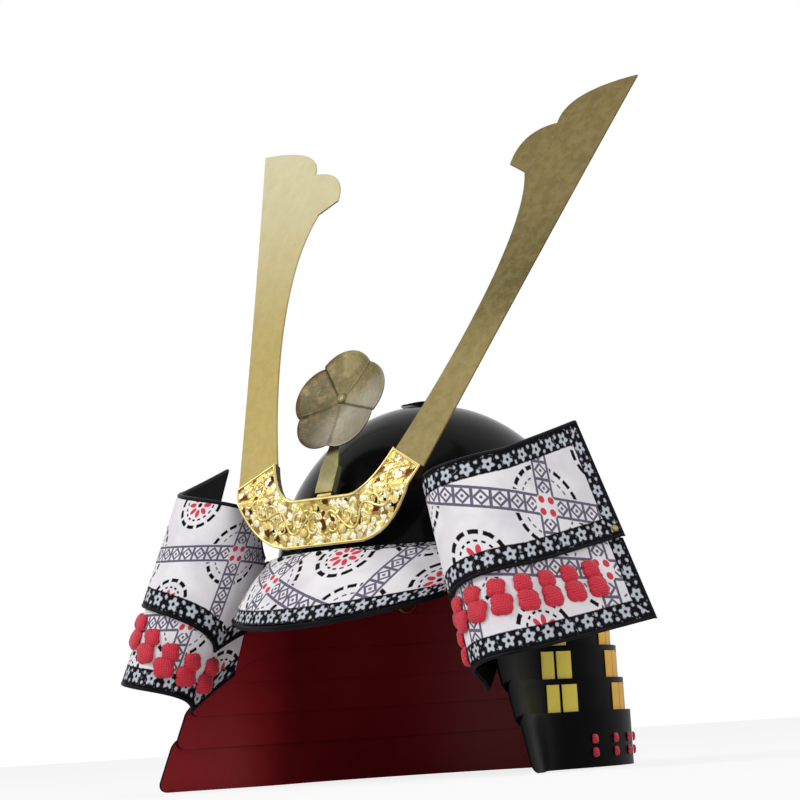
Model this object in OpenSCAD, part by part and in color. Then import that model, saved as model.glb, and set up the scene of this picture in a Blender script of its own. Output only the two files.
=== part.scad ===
// Samurai helmet, built as its maker would: a riveted bowl, a visor, a laced neck guard
// whose first two lames turn back beside the face, and a crest set of two horns and a flower.
// The front looks along -Y, the wearer's left is +X, and the rim of the bowl lies at Z = 0.

/* [Bowl] */
// Width of the bowl at its rim
bowl_w = 212; // [204:1:220]
// Length of the bowl at its rim
bowl_l = 234; // [228:1:244]
// Height of the bowl above its rim
bowl_h = 123; // [116:1:130]
// Thickness of the bowl plate
bowl_t = 2; // [1.6:0.1:2.6]
// Distance of the crown behind the middle
crown_back = 2; // [0:1:8]
// Height of the base band riveted round the rim
band_h = 20; // [16:1:24]
// Thickness of the base band
band_t = 1.4; // [1:0.1:1.8]

/* [Apex fitting] */
// Bore of the opening at the crown
apex_bore = 13; // [9:0.5:15]
// Diameter of the petalled seat
seat_d = 34; // [30:1:38]
// Height of the collar above the seat
collar_h = 1.5; // [1:0.5:4]

/* [Visor] */
// Reach of the visor in front of the bowl's rim
visor_out = 49; // [41:1:55]
// Drop of the visor edge below the rim
visor_drop = 31; // [26:1:38]
// Thickness of the visor plate
visor_t = 2; // [1.6:0.1:2.6]
// Rise of the visor edge at its corners
visor_arch = 15; // [10:1:20]
// Bulge of the visor above a straight slope
visor_bulge = 5; // [3:0.5:7]

/* [Horn holder] */
// Height of the bar across the brow
holder_bar = 33; // [28:1:36]
// Height of its lower edge above the rim
holder_z = 22.5; // [21:0.5:26]
// Distance of its back face in front of the bowl's rim
holder_stand = 0; // [0:0.2:3]
// Thickness of the holder plate
holder_t = 2; // [1.6:0.1:2.6]
// Backward lean of the horns
horn_lean = 30; // [24:1:34]
// Depth of the sockets
socket_depth = 25; // [18:1:28]
// Splay of the sockets from upright
socket_splay = 25; // [20:1:28]

/* [Horns] */
// Thickness of the horn plate
horn_t = 1.6; // [1.2:0.1:2]
// Rise of a horn tip above the holder seat along the lean
horn_rise = 359; // [330:1:380]
// Distance of a horn tip from the middle
horn_spread = 171; // [150:1:190]
// Width of the tang in its socket
tang_w = 22; // [18:1:24]

/* [Crest] */
// Diameter of the flower crest
crest_d = 78; // [70:1:84]
// Height of the flower's middle along its stem
crest_rise = 73; // [68:1:80]
// Backward lean of the crest
crest_lean = 25; // [18:1:30]
// Thickness of the crest plates
crest_t = 1.4; // [1:0.1:2]
// Number of petals
petals = 8; // [7:1:10]
// Width of the prong that carries the crest
prong_w = 12; // [9:0.5:14]

/* [Neck guard] */
// Thickness of a lame
lame_t = 1.6; // [1.2:0.1:2]
// Clearance between two lames
lame_gap = 1.9; // [1.6:0.1:2.4]
// Visible height of each lame
lame_pitch = 22.4; // [20:0.2:24]
// Hidden overlap of each lame
lame_lap = 8.6; // [7:0.2:10]
// Drop of the first lame below the rim
first_drop = 18; // [14:1:22]
// Extra height of the last lame
last_extra = 7; // [3:1:10]
// Outward flare of the front ends for each millimetre of drop
flare = 0.355; // [0.3:0.005:0.38]

/* [Turnbacks] */
// Radius of the forward bend
bend_r = 36; // [32:1:38]
// Distance of the bend's middle outside the rim of the bowl
bend_out = 26.3; // [22:0.1:30]
// Distance of the bend's middle behind the front of the rim
bend_in = 14.2; // [11:0.1:17]
// Length of the flat wing behind the bend
wing_len = 80; // [70:1:86]
// Height of the wing's outer corner
wing_top = 91; // [84:1:96]
// Thickness of the printed leather cover
cover_t = 0.7; // [0.5:0.1:1]
// Diameter of a knot in the lower row
knot_d = 14.4; // [13:0.2:14.4]
// Spacing of the knots along the wing
knot_pitch = 17; // [17:0.5:19]

/* [Lacing] */
// Width of one flat cord
cord_w = 13; // [7:0.5:13]
// Thickness of a cord
cord_t = 0.9; // [0.7:0.1:1.1]
// Gap between the two cords of a pair
cord_gap = 1.6; // [1.2:0.2:4]

/* [Rings] */
// Diameter across the pennant ring
pennant_d = 20; // [16:1:24]
// Diameter across each chin cord ring
tie_ring_d = 15; // [13:0.5:17]
// Wire thickness of the chin cord rings
tie_wire = 1.6; // [1.4:0.1:2]

/* [Lining] */
// Space between the bowl and its lining
lining_gap = 4; // [3:0.5:8]
// Thickness of the lining
lining_t = 2; // [1.5:0.1:3]

/* [Hidden] */

// Distance left between two pieces that seat on each other
seat = 0.3;
// Smoothness of round pieces
round_fn = 32;

bowl_a = bowl_w / 2;
bowl_b = bowl_l / 2;
holder_y = bowl_b + holder_stand;
bend_x = bowl_a + bend_out;
bend_y = bowl_b - bend_in;
band_o = seat;
lame_o = band_o + band_t + seat;
lame_step = lame_t + lame_gap;
leather = "#d9d5dc";
lacquer = "#17171a";
brass = "#b8a468";
gold = "#dcbc4a";
crimson = "#c4283f";
silk = "#dcc83c";

// Curves shared by the sweeps

function bez2(a, b, c, t) = (1 - t) * (1 - t) * a + 2 * (1 - t) * t * b + t * t * c;
function bez3(a, b, c, d, t) =
    pow(1 - t, 3) * a + 3 * pow(1 - t, 2) * t * b + 3 * (1 - t) * t * t * c + pow(t, 3) * d;
function unit(v) = v / norm(v);
function blend(a, b, t) = a + (b - a) * t;
function flip(list) = [for (i = [len(list) - 1 : -1 : 0]) list[i]];
function mirrored(p) = [-p[0], p[1], p[2]];

// A closed skin between two grids of points, with as many rows and columns each.
// The outer grid runs so that its faces look outward, and wrap joins the last row to the first.
module skin(outer, inner, wrap = false) {
    rows = len(outer);
    cols = len(outer[0]);
    half = rows * cols;
    last = wrap ? rows - 1 : rows - 2;
    points = concat([for (r = outer) for (p = r) p], [for (r = inner) for (p = r) p]);
    function at(i, j) = (i % rows) * cols + j;
    faces = concat(
        [for (i = [0 : last], j = [0 : cols - 2]) each [
            [at(i, j), at(i + 1, j), at(i + 1, j + 1)],
            [at(i, j), at(i + 1, j + 1), at(i, j + 1)],
            [half + at(i, j), half + at(i + 1, j + 1), half + at(i + 1, j)],
            [half + at(i, j), half + at(i, j + 1), half + at(i + 1, j + 1)]]],
        [for (i = [0 : last]) each [
            [at(i, 0), half + at(i, 0), half + at(i + 1, 0)],
            [at(i, 0), half + at(i + 1, 0), at(i + 1, 0)],
            [at(i, cols - 1), half + at(i + 1, cols - 1), half + at(i, cols - 1)],
            [at(i, cols - 1), at(i + 1, cols - 1), half + at(i + 1, cols - 1)]]],
        wrap ? [] : [for (j = [0 : cols - 2]) each [
            [at(0, j), half + at(0, j + 1), half + at(0, j)],
            [at(0, j), at(0, j + 1), half + at(0, j + 1)],
            [at(rows - 1, j), half + at(rows - 1, j), half + at(rows - 1, j + 1)],
            [at(rows - 1, j), half + at(rows - 1, j + 1), at(rows - 1, j + 1)]]]);
    polyhedron(points, faces, convexity = 8);
}

// Places a child at a point with its +Z along a direction
module facing(p, n) {
    translate(p)
        rotate([0, acos(n[2] / norm(n)), atan2(n[1], n[0])])
            children();
}

// A low domed head, standing on Z = 0
module dome_head(d, h) {
    rotate_extrude($fn = round_fn)
        polygon([[0, 0], [d / 2, 0], [d * 0.46, h * 0.45], [d * 0.3, h * 0.85], [0, h]]);
}

// A ring of round wire about Z
module wire_ring(mean_r, wire) {
    rotate_extrude($fn = round_fn)
        translate([mean_r, 0])
            circle(d = wire, $fn = 16);
}

// Bowl: an oval dome, where az runs round from +X and el climbs from the rim

function dome(az, el, o) = [(bowl_a + o) * cos(el) * cos(az),
    crown_back * sin(el) + (bowl_b + o) * cos(el) * sin(az), (bowl_h + o) * sin(el)];
function dome_at(az, z, o) = dome(az, asin(z / (bowl_h + o)), o);

bowl_stations = 48;
bowl_rows = 12;
crown_el = acos((apex_bore / 2 + 2) / bowl_a);

module bowl() {
    function grid(o) = [for (i = [0 : bowl_stations - 1])
        [for (j = [0 : bowl_rows]) dome(i * 360 / bowl_stations, crown_el * j / bowl_rows, o)]];
    color(lacquer)
        skin(grid(0), grid(-bowl_t), wrap = true);
}

module base_band() {
    function grid(o) = [for (i = [0 : bowl_stations - 1])
        [for (j = [0 : 1]) dome_at(i * 360 / bowl_stations, band_h * j, o)]];
    color(lacquer)
        skin(grid(band_o + band_t), grid(band_o), wrap = true);
}

// Apex fitting: a petalled seat and a collar, both bored for the opening at the crown

seat_z = bowl_h + seat;
seat_t = 1;

module apex_seat() {
    petal_r = seat_d * 0.16;
    color(lacquer)
        translate([0, crown_back, seat_z])
            difference() {
                union() {
                    cylinder(d = seat_d - 2 * petal_r, h = seat_t, $fn = round_fn);
                    for (i = [0 : 11])
                        rotate([0, 0, i * 30])
                            translate([seat_d / 2 - petal_r, 0, 0])
                                cylinder(r = petal_r, h = seat_t, $fn = 16);
                }
                translate([0, 0, -1])
                    cylinder(d = apex_bore, h = seat_t + 2, $fn = round_fn);
            }
}

module apex_collar() {
    bore = apex_bore / 2;
    color(lacquer)
        translate([0, crown_back, seat_z + seat_t])
            rotate_extrude($fn = 48)
                polygon([[bore, 0], [bore + 5, 0], [bore + 5.4, collar_h * 0.25],
                    [bore + 3.8, collar_h * 0.5], [bore + 3, collar_h * 0.9],
                    [bore + 2, collar_h], [bore, collar_h]]);
}

// Visor: a sheet from the base band to a curved lower edge, swept over the brow

brow_turn = 67;
root_turn = 56;
visor_stations = 24;
visor_rows = 4;
corner_in = 8;
corner_back = 51;
edge_x = bowl_a - corner_in;
edge_y = bowl_b - corner_back;
visor_reach = bowl_b + visor_out;
root_z = band_h - 0.5;
slope_out = 0.62;
slope_up = 0.78;

function visor_turn(i) = brow_turn * (2 * i / visor_stations - 1);
function visor_root(w) = dome_at(w * root_turn / brow_turn - 90, root_z,
    lame_o + slope_out * visor_t);
function visor_edge(w) = [edge_x * sin(w), -edge_y - (visor_reach - edge_y) * cos(w),
    -visor_drop + visor_arch * (1 - cos(w)) / (1 - cos(brow_turn))];
function visor_up(w) = unit([slope_out * sin(w), -slope_out * cos(w), slope_up]);
function visor_point(w, t, o) =
    let (r = visor_root(w), e = visor_edge(w), m = (r + e) / 2
        + visor_up(w) * 2 * visor_bulge * (1 - pow(w / brow_turn, 2)))
    bez2(r, m, e, t) + visor_up(w) * o;
function visor_grid(t0, t1, o) = [for (i = [0 : visor_stations])
    [for (j = [0 : visor_rows]) visor_point(visor_turn(i), blend(t1, t0, j / visor_rows), o)]];

module visor() {
    color(lacquer)
        skin(visor_grid(0, 1, 0), visor_grid(0, 1, -visor_t));
}

module visor_cover() {
    color(leather)
        skin(visor_grid(0.03, 0.99, seat + cover_t), visor_grid(0.03, 0.99, seat));
}

module visor_edging() {
    lip = 2.2;
    function rim(w, out, o) = visor_point(w, 1, o) + unit(visor_point(w, 1, 0)
        - visor_point(w, 0.96, 0)) * out;
    function strip(o) = [for (i = [0 : visor_stations])
        [rim(visor_turn(i), lip, o), rim(visor_turn(i), seat, o)]];
    color(lacquer)
        skin(strip(seat + cover_t + 0.4), strip(-visor_t - 0.4));
}

module visor_rivets() {
    color(lacquer)
        for (w = [-54, -27, 0, 27, 54])
            facing(visor_point(w, 0.1, 2 * seat + cover_t + 0.2), visor_up(w))
                dome_head(4.6, 1.6);
}

// Horn holder: a bar across the brow whose two arms bend back to the lean of the horns.
// Its outline is drawn flat, with X across and Y up from the lower edge.

bend_line = holder_bar + 2;
arm_outer = [81, 48];
arm_inner = [52, 66];
arm_mid = (arm_outer + arm_inner) / 2;
socket_gap = 0.3;
socket_back = 1.2;
socket_t = horn_t + 2 * socket_gap;
holder_depth = holder_t + socket_t + socket_back;
flat_steps = 8;

function holder_half() = concat(
    [for (i = [0 : flat_steps]) bez2([34, 0], [66, 4], arm_outer, i / flat_steps)],
    [for (i = [0 : flat_steps])
        bez2(arm_inner, [40, holder_bar + 1], [24, holder_bar], i / flat_steps)]);

module holder_flat() {
    half = holder_half();
    polygon(concat(half, [for (p = flip(half)) [-p[0], p[1]]]));
}

// The holder's bent frame: what is drawn flat above the bend line leans back with the horns
module on_lean() {
    translate([0, -holder_y - holder_t, holder_z + bend_line])
        rotate([90 - horn_lean, 0, 0])
            translate([0, -bend_line, 0])
                mirror([0, 0, 1])
                    children();
}

module on_bar() {
    translate([0, -holder_y - holder_t, holder_z])
        rotate([90, 0, 0])
            mirror([0, 0, 1])
                children();
}

// The tang's axis, seen on the flat outline
module at_socket(side) {
    translate([side * arm_mid[0], arm_mid[1], 0])
        rotate([0, 0, -side * socket_splay])
            children();
}

module horn_holder() {
    reach = 200;
    rivet_bore = 3;
    color(gold)
        difference() {
            union() {
                on_bar()
                    linear_extrude(holder_t)
                        intersection() {
                            holder_flat();
                            translate([-reach / 2, -1])
                                square([reach, bend_line + 1.3]);
                        }
                on_lean()
                    linear_extrude(holder_depth)
                        intersection() {
                            holder_flat();
                            translate([-reach / 2, bend_line])
                                square([reach, reach]);
                        }
            }
            on_lean()
                for (side = [-1, 1])
                    at_socket(side)
                        translate([-tang_w / 2 - socket_gap, -socket_depth, holder_t])
                            cube([tang_w + 2 * socket_gap, reach, socket_t]);
            for (side = [-1, 1])
                translate([side * rivet_x, -holder_y - holder_t - 1, rivet_z])
                    rotate([-90, 0, 0])
                        cylinder(d = rivet_bore, h = holder_t + 2, $fn = 24);
        }
}

rivet_x = 17;
rivet_z = holder_z + 10;

module holder_rivets() {
    shank = 2.4;
    wall_y = dome_at(acos(rivet_x / bowl_a) - 180, rivet_z - shank / 2, 0)[1];
    color(brass)
        for (side = [-1, 1])
            translate([side * rivet_x, -holder_y - holder_t - seat, rivet_z]) {
                rotate([90, 0, 0])
                    dome_head(7, 2);
                rotate([-90, 0, 0])
                    cylinder(d = shank, h = holder_y + holder_t + wall_y, $fn = 24);
            }
}

// Horns: flat blades whose heads break into two lobes on the inner side

tip = [horn_spread, horn_rise];
head_w = 77;
head_h = 69;
spur_out = 15.5;
spur_up = 10;
shoulder = 0.4;
tang_root = 6;

function horn_outline() = let (
        up = [sin(socket_splay), cos(socket_splay)] * shoulder,
        foot_out = arm_outer + up,
        foot_in = arm_inner + up,
        neck = tip - [head_w, head_h],
        spur = neck + [-spur_out, spur_up],
        notch = tip - [head_w * 0.78, head_h * 0.42])
    concat(
        [for (i = [0 : 12]) bez3(foot_out, blend(foot_out, tip, 0.27) + [1, 6],
            blend(foot_out, tip, 0.68) + [-2, -1], tip, i / 12)],
        [for (i = [1 : 6]) bez2(tip, tip - [head_w * 0.77, 2], notch, i / 6)],
        [for (i = [1 : 6]) bez2(notch, [spur[0] + 1.5, notch[1] - 1], spur, i / 6)],
        [for (i = [1 : 4]) bez2(spur, neck + [-3, 2], neck, i / 4)],
        [for (i = [1 : 10]) bez3(neck, neck + [18, -51], blend(foot_in, neck, 0.31) + [15, -1],
            foot_in, i / 10)]);

module horn(side) {
    color(brass)
        on_lean()
            translate([0, 0, holder_t + socket_gap])
                linear_extrude(horn_t) {
                    mirror([side < 0 ? 1 : 0, 0])
                        polygon(horn_outline());
                    at_socket(side)
                        translate([-tang_w / 2, -socket_depth + seat])
                            square([tang_w, socket_depth + tang_root]);
                }
}

module horn_left() {
    horn(1);
}

module horn_right() {
    horn(-1);
}

// Crest: a prong behind the holder, and a flower on a stem whose sleeve slips over it

prong_t = 1.6;
prong_low = holder_z + 11;
prong_bend = holder_z + holder_bar;
prong_len = 24;
prong_back = 1;
sleeve_t = 1.2;
sleeve_len = 20;
stem_low = 3;
stem_w = 9;

// The crest's own frame: X across, Y up along the lean, Z forward, from the prong's bend
module on_crest() {
    translate([0, -holder_y + seat, prong_bend])
        rotate([90 - crest_lean, 0, 0])
            children();
}

module crest_prong() {
    color(brass)
        union() {
            translate([-prong_w / 2, -holder_y + seat, prong_low])
                cube([prong_w, prong_t, prong_bend - prong_low + prong_back]);
            on_crest()
                translate([-prong_w / 2, 0, -prong_t])
                    cube([prong_w, prong_len, prong_t]);
        }
}

module crest_stem() {
    top = crest_rise - crest_d * 0.12;
    wide = prong_w + 2 * (sleeve_t + socket_gap);
    color(brass)
        on_crest()
            difference() {
                union() {
                    translate([-wide / 2, stem_low, -prong_t - socket_gap - sleeve_t])
                        cube([wide, sleeve_len, prong_t + 2 * (socket_gap + sleeve_t)]);
                    translate([0, 0, socket_gap])
                        linear_extrude(sleeve_t)
                            polygon([[-wide / 2, stem_low + sleeve_len - 1],
                                [wide / 2, stem_low + sleeve_len - 1],
                                [stem_w / 2, stem_low + sleeve_len + 14], [stem_w / 2, top],
                                [-stem_w / 2, top], [-stem_w / 2, stem_low + sleeve_len + 14]]);
                }
                translate([-prong_w / 2 - socket_gap, 0, -prong_t - socket_gap])
                    cube([prong_w + 2 * socket_gap, prong_len + 1,
                        prong_t + 2 * socket_gap]);
            }
}

flower_z = socket_gap + sleeve_t + seat;

module crest_flower() {
    petal_r = crest_d * 0.2;
    ring_r = crest_d / 2 - petal_r;
    tilt = 7;
    lift = petal_r * sin(tilt);
    color(brass)
        on_crest()
            translate([0, crest_rise, flower_z])
                union() {
                    cylinder(r = ring_r + 2, h = lift + crest_t, $fn = 48);
                    for (i = [0 : petals - 1])
                        rotate([0, 0, (i + 0.5) * 360 / petals])
                            translate([ring_r, 0, lift])
                                rotate([tilt, 0, 0])
                                    cylinder(r = petal_r, h = crest_t, $fn = 32);
                }
}

module crest_rivet() {
    lift = crest_d * 0.2 * sin(7);
    color(gold)
        on_crest()
            translate([0, crest_rise, flower_z + lift + crest_t + seat])
                dome_head(8, 1.8);
}

// Neck guard: every lame follows one plan curve, which drops, flares and, on the first two,
// turns back round the bend. A station is [0, angle] on the oval, [1, share] on the side leg,
// [2, angle] on the bend, or [3, share] on the wing.

leg_turn = -12;
wing_turn = 340;
bend_back = 0.19;
wing_grow = 0.183;
rim_a = bowl_a + lame_o;
rim_b = bowl_b + lame_o;

function bend_at(z) = [bend_x - flare * z, -bend_y + bend_back * z];
function wing_at(z) = wing_len - wing_grow * z;
function polar(r, q) = [r * cos(q), r * sin(q)];
function side_leg(c, o, t) = let (
        p0 = [(rim_a + o) * cos(leg_turn), (rim_b + o) * sin(leg_turn)],
        h0 = unit([(rim_a + o) * sin(leg_turn), -(rim_b + o) * cos(leg_turn)]),
        p3 = [c[0] - bend_r + o, c[1]],
        reach = 0.36 * norm(p3 - p0))
    bez3(p0, p0 + h0 * reach, p3 + [0, reach], p3, t);
function plan(st, z, o) = let (c = bend_at(z))
    st[0] == 0 ? [(rim_a + o) * cos(st[1]), (rim_b + o) * sin(st[1])]
    : st[0] == 1 ? side_leg(c, o, st[1])
    : st[0] == 2 ? c + polar(bend_r - o, st[1])
    : c + polar(bend_r - o, wing_turn) + polar(wing_at(z) * st[1], wing_turn - 270);
function at_station(st, z, o) = concat(plan(st, z, o), [z]);

back_steps = 12;
leg_steps = 6;
rear_steps = 4;
front_steps = 3;
bend_steps = 10;
wing_steps = 3;

function oval_stations(from, to) = [for (i = [0 : back_steps])
    [0, blend(from, to, i / back_steps)]];
function leg_stations(steps, from, to) = [for (i = [1 : steps])
    [1, blend(from, to, i / steps)]];
function bend_stations() = [for (i = [1 : bend_steps])
    [2, blend(180, wing_turn, i / bend_steps)]];
function wing_stations() = [for (i = [1 : wing_steps]) [3, i / wing_steps]];
function turned_stations() = concat(oval_stations(90, leg_turn),
    leg_stations(rear_steps, 0, cover_from), leg_stations(front_steps, cover_from, 1),
    bend_stations(), wing_stations());
function front_stations() = concat([[1, cover_from]],
    leg_stations(front_steps, cover_from, 1), bend_stations(), wing_stations());

// Height of each edge at a station
function bend_share(st) = (st[1] - 180) / (wing_turn - 180);
rim_top = 12;
top_slant = 19;
top_climb = 22;
foot_dip = 4;
foot_climb = 20;
foot_slant = 17;
tail_dip = 40;
tail_climb = 25;
wing_root = wing_top - top_slant;
bend_top = wing_root - top_climb;
function top_1(st) = st[0] == 0 ? rim_top
    : st[0] == 1 ? blend(rim_top, bend_top, pow(st[1], 4))
    : st[0] == 2 ? bend_top + top_climb * pow(bend_share(st), 0.8)
    : blend(wing_root, wing_top, st[1]);
function low_1(st) = st[0] == 0 ? -first_drop
    : st[0] == 1 ? -first_drop - foot_dip * st[1]
    : st[0] == 2 ? -first_drop - foot_dip + foot_climb * sqrt(bend_share(st))
    : -first_drop - foot_dip + foot_climb + foot_slant * st[1];
function low_2(st) = let (low = -first_drop - lame_pitch)
    st[0] == 0 ? low
    : st[0] == 1 ? low - tail_dip * pow(st[1], 2.5)
    : st[0] == 2 ? low - tail_dip + tail_climb * sqrt(bend_share(st))
    : low - (tail_dip - tail_climb) * (1 - st[1]);
function top_2(st) = low_1(st) + lame_lap;

// The whole run of a lame, from the right end round the back to the left end
function whole(half) = concat([for (i = [len(half) - 1 : -1 : 1]) [half[i], -1]],
    [for (st = half) [st, 1]]);
function sided(p, side) = side < 0 ? mirrored(p) : p;

module turned_lame(level, rows) {
    o = (level - 1) * lame_step;
    function low(st) = level == 1 ? low_1(st) : low_2(st);
    function top(st) = level == 1 ? top_1(st) : top_2(st);
    function grid(o) = [for (s = whole(turned_stations())) [for (j = [0 : rows])
        sided(at_station(s[0], blend(low(s[0]), top(s[0]), j / rows), o), s[1])]];
    color(lacquer)
        skin(grid(o), grid(o + lame_t));
}

module neck_lame_1() {
    turned_lame(1, 2);
}

module neck_lame_2() {
    turned_lame(2, 2);
}

// Plain lames end beside the bend with rounded front corners
leg_end = 0.94;
corner_r = 8;
leg_span = 92;

function lame_low(level) = -first_drop - (level - 1) * lame_pitch
    - (level == lame_count ? last_extra : 0);
function lame_top(level) = -first_drop - (level - 2) * lame_pitch + lame_lap;
lame_count = 6;

plain_start = leg_end - corner_r / leg_span;
function corner_shares() = [for (q = [0, 30, 60, 85])
    [leg_end - corner_r * (1 - sin(q)) / leg_span, corner_r * (1 - cos(q))]];

module plain_lame(level) {
    o = (level - 1) * lame_step;
    low = lame_low(level);
    top = lame_top(level);
    half = concat(
        [for (st = oval_stations(90, leg_turn)) [st, 0]],
        [for (i = [1 : leg_steps - 1]) [[1, plain_start * i / leg_steps], 0]],
        [for (c = corner_shares()) [[1, c[0]], c[1]]]);
    run = concat([for (i = [len(half) - 1 : -1 : 1]) [half[i][0], -1, half[i][1]]],
        [for (h = half) [h[0], 1, h[1]]]);
    function grid(o) = [for (s = run) [for (z = [low + s[2], top - s[2]])
        sided(at_station(s[0], z, o), s[1])]];
    color(lacquer)
        skin(grid(o), grid(o + lame_t));
}

module neck_lame_3() {
    plain_lame(3);
}

module neck_lame_4() {
    plain_lame(4);
}

module neck_lame_5() {
    plain_lame(5);
}

module neck_lame_6() {
    plain_lame(6);
}

// Rivets that hold the first lame and the base band to the bowl
module rim_rivets() {
    color(lacquer)
        for (side = [-1, 1], q = [73, 39, 5])
            facing(sided(at_station([0, q], rim_top / 4, lame_t + seat), side),
                sided([cos(q) / rim_a, sin(q) / rim_b, 0] * rim_a, side))
                dome_head(6, 2);
}

// Printed leather on the turnbacks, which lies on what was the inner face of each lame
cover_from = 0.7;
hem = 1.5;

module turned_cover(level, side) {
    o = (level - 1) * lame_step - seat;
    function low(st) = (level == 1 ? low_1(st) : low_2(st)) + hem;
    function top(st) = (level == 1 ? top_1(st) : top_2(st)) - hem;
    function grid(o) = [for (st = side > 0 ? front_stations() : flip(front_stations()))
        [for (j = [0 : 2])
            sided(at_station(st, blend(low(st), top(st), j / 2), o), side)]];
    color(leather)
        skin(grid(o - cover_t), grid(o));
}

module upper_cover_left() {
    turned_cover(1, 1);
}

module upper_cover_right() {
    turned_cover(1, -1);
}

module lower_cover_left() {
    turned_cover(2, 1);
}

module lower_cover_right() {
    turned_cover(2, -1);
}

// A rolled edge runs just outside the lame, along its top, its outer end and its foot
lip = 2.3;

module turned_edging(level, side) {
    o = (level - 1) * lame_step;
    stations = front_stations();
    function low(st) = level == 1 ? low_1(st) : low_2(st);
    function top(st) = level == 1 ? top_1(st) : top_2(st);
    tail = [3, 1];
    function past(out) = [3, 1 + out / wing_at(0)];
    function path(out) = concat(
        level == 1 ? [for (st = stations) [st, top(st) + out]] : [],
        level == 1 ? [[past(out), top(tail) + out]] : [],
        [for (j = [0, 1, 2])
            [past(out), blend(level == 1 ? top(tail) : low_1(tail) - lip - 2 * seat,
                low(tail), j / 2)]],
        [[past(out), low(tail) - out]],
        [for (st = flip(stations)) [st, low(st) - out]]);
    function strip(o) = let (
            near = path(seat),
            far = path(lip),
            row = [for (i = [0 : len(near) - 1])
                [sided(at_station(near[i][0], near[i][1], o), side),
                sided(at_station(far[i][0], far[i][1], o), side)]])
        side > 0 ? row : flip(row);
    color(lacquer)
        skin(strip(o - seat - cover_t - 0.4), strip(o + lame_t + 0.3));
}

module upper_edging_left() {
    turned_edging(1, 1);
}

module upper_edging_right() {
    turned_edging(1, -1);
}

module lower_edging_left() {
    turned_edging(2, 1);
}

module lower_edging_right() {
    turned_edging(2, -1);
}

// Cross knots of thick cord in two rows on each lower wing
knot_rows = [12, 28];
knot_scale = [0.8, 1];
knot_start = 24;
knot_count = 9;

function wing_station(d, z) = d < wing_at(z) ? [3, 1 - d / wing_at(z)]
    : [2, wing_turn - (d - wing_at(z)) / bend_r * 180 / PI];
function outer_normal(st, z, o) = let (
        step = st[0] == 2 ? 1 : 0.01,
        along = at_station([st[0], st[1] + step], z, o) - at_station([st[0], st[1] - step], z, o),
        upward = at_station(st, z + 1, o) - at_station(st, z - 1, o),
        n = unit(cross(along, upward)))
    n * sign(n * (at_station(st, z, o - 1) - at_station(st, z, o)));
function surface_normal(st, z, o, side) = sided(outer_normal(st, z, o), side);

module turnback_knots(side) {
    o = lame_step - 2 * seat - cover_t;
    color(crimson)
        for (i = [0 : knot_count - 1], row = [0, 1]) {
            st = wing_station(knot_start + i * knot_pitch, -30);
            z = low_1(st) - knot_rows[row];
            facing(sided(at_station(st, z, o), side), surface_normal(st, z, o, side))
                dome_head(knot_d * knot_scale[row], 4);
        }
}

module turnback_knots_left() {
    turnback_knots(1);
}

module turnback_knots_right() {
    turnback_knots(-1);
}

// Brass studs that tie the two wings together at their outer edges
module turnback_studs() {
    st = [3, 0.94];
    z = low_1(st) + 4;
    o = -2 * seat - cover_t;
    color(brass)
        for (side = [-1, 1])
            facing(sided(at_station(st, z, o), side), surface_normal(st, z, o, side))
                dome_head(5, 2);
}

// Lacing: pairs of flat cords on the outer face of each lame, from its upper holes to its lower
column_turns = [90, 56, 22];
column_front = -5;
leg_in = 0.008;
cord_seat = 0.1;
hole_in = 4;

function lame_o_at(level) = (level - 1) * lame_step + lame_t + seat;

// Where a lame's flats meet, on the oval and on the side leg
function marks(level, kind) = kind == 0
    ? [for (i = [0 : back_steps]) blend(90, leg_turn, i / back_steps)]
    : level <= 2 ? concat([for (i = [0 : rear_steps]) cover_from * i / rear_steps],
        [for (i = [1 : front_steps]) blend(cover_from, 1, i / front_steps)])
    : [for (i = [0 : leg_steps]) plain_start * i / leg_steps];
// A point on the flat that a lame has at a station
function on_flat(level, kind, t, z, o) = let (
        m = marks(level, kind),
        k = max([for (i = [0 : len(m) - 2]) if (abs(m[i] - m[0]) <= abs(t - m[0])) i]),
        f = (t - m[k]) / (m[k + 1] - m[k]))
    blend(at_station([kind, m[k]], z, o), at_station([kind, m[k + 1]], z, o), f);

module cord_strip(level, kind, from, to, side) {
    o = lame_o_at(level) + cord_seat;
    top = (level == 1 ? rim_top - 6 : lame_top(level)) - hole_in;
    low = (level <= 2 ? -first_drop - (level - 1) * lame_pitch : lame_low(level)) + hole_in;
    run = concat([from], [for (m = marks(level, kind)) if ((m - from) * (m - to) < 0) m], [to]);
    function grid(o) = [for (t = side > 0 ? run : flip(run))
        [for (z = [low, top]) sided(on_flat(level, kind, t, z, o), side)]];
    skin(grid(o), grid(o + cord_t));
}

module lacing(level) {
    wide = cord_w / rim_b * 180 / PI;
    apart = cord_gap / rim_b * 90 / PI;
    color(silk)
        for (side = [-1, 1]) {
            for (q = column_turns) {
                cord_strip(level, 0, q - apart, q - apart - wide, side);
                if (q < 90)
                    cord_strip(level, 0, q + apart + wide, q + apart, side);
            }
            cord_strip(level, 0, column_front, column_front - wide, side);
            cord_strip(level, 1, leg_in, leg_in + cord_w / leg_span, side);
        }
}

module lacing_1() {
    lacing(1);
}

module lacing_2() {
    lacing(2);
}

module lacing_3() {
    lacing(3);
}

module lacing_4() {
    lacing(4);
}

module lacing_5() {
    lacing(5);
}

// The last lame carries two rows of small cross knots
module bottom_knots() {
    o = lame_o_at(lame_count);
    z = lame_low(lame_count) + 10;
    color(crimson)
        for (side = [-1, 1], q = [84 : -12 : 0], row = [0, 1])
            facing(sided(at_station([0, q], z + 9 * row, o), side),
                sided([cos(q), sin(q), 0], side))
                dome_head(7, 1.8);
}

// Lining: a quilted cap hung inside the bowl from a band round the rim

lining_stations = 32;

strap_t = 1.6;

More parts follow.
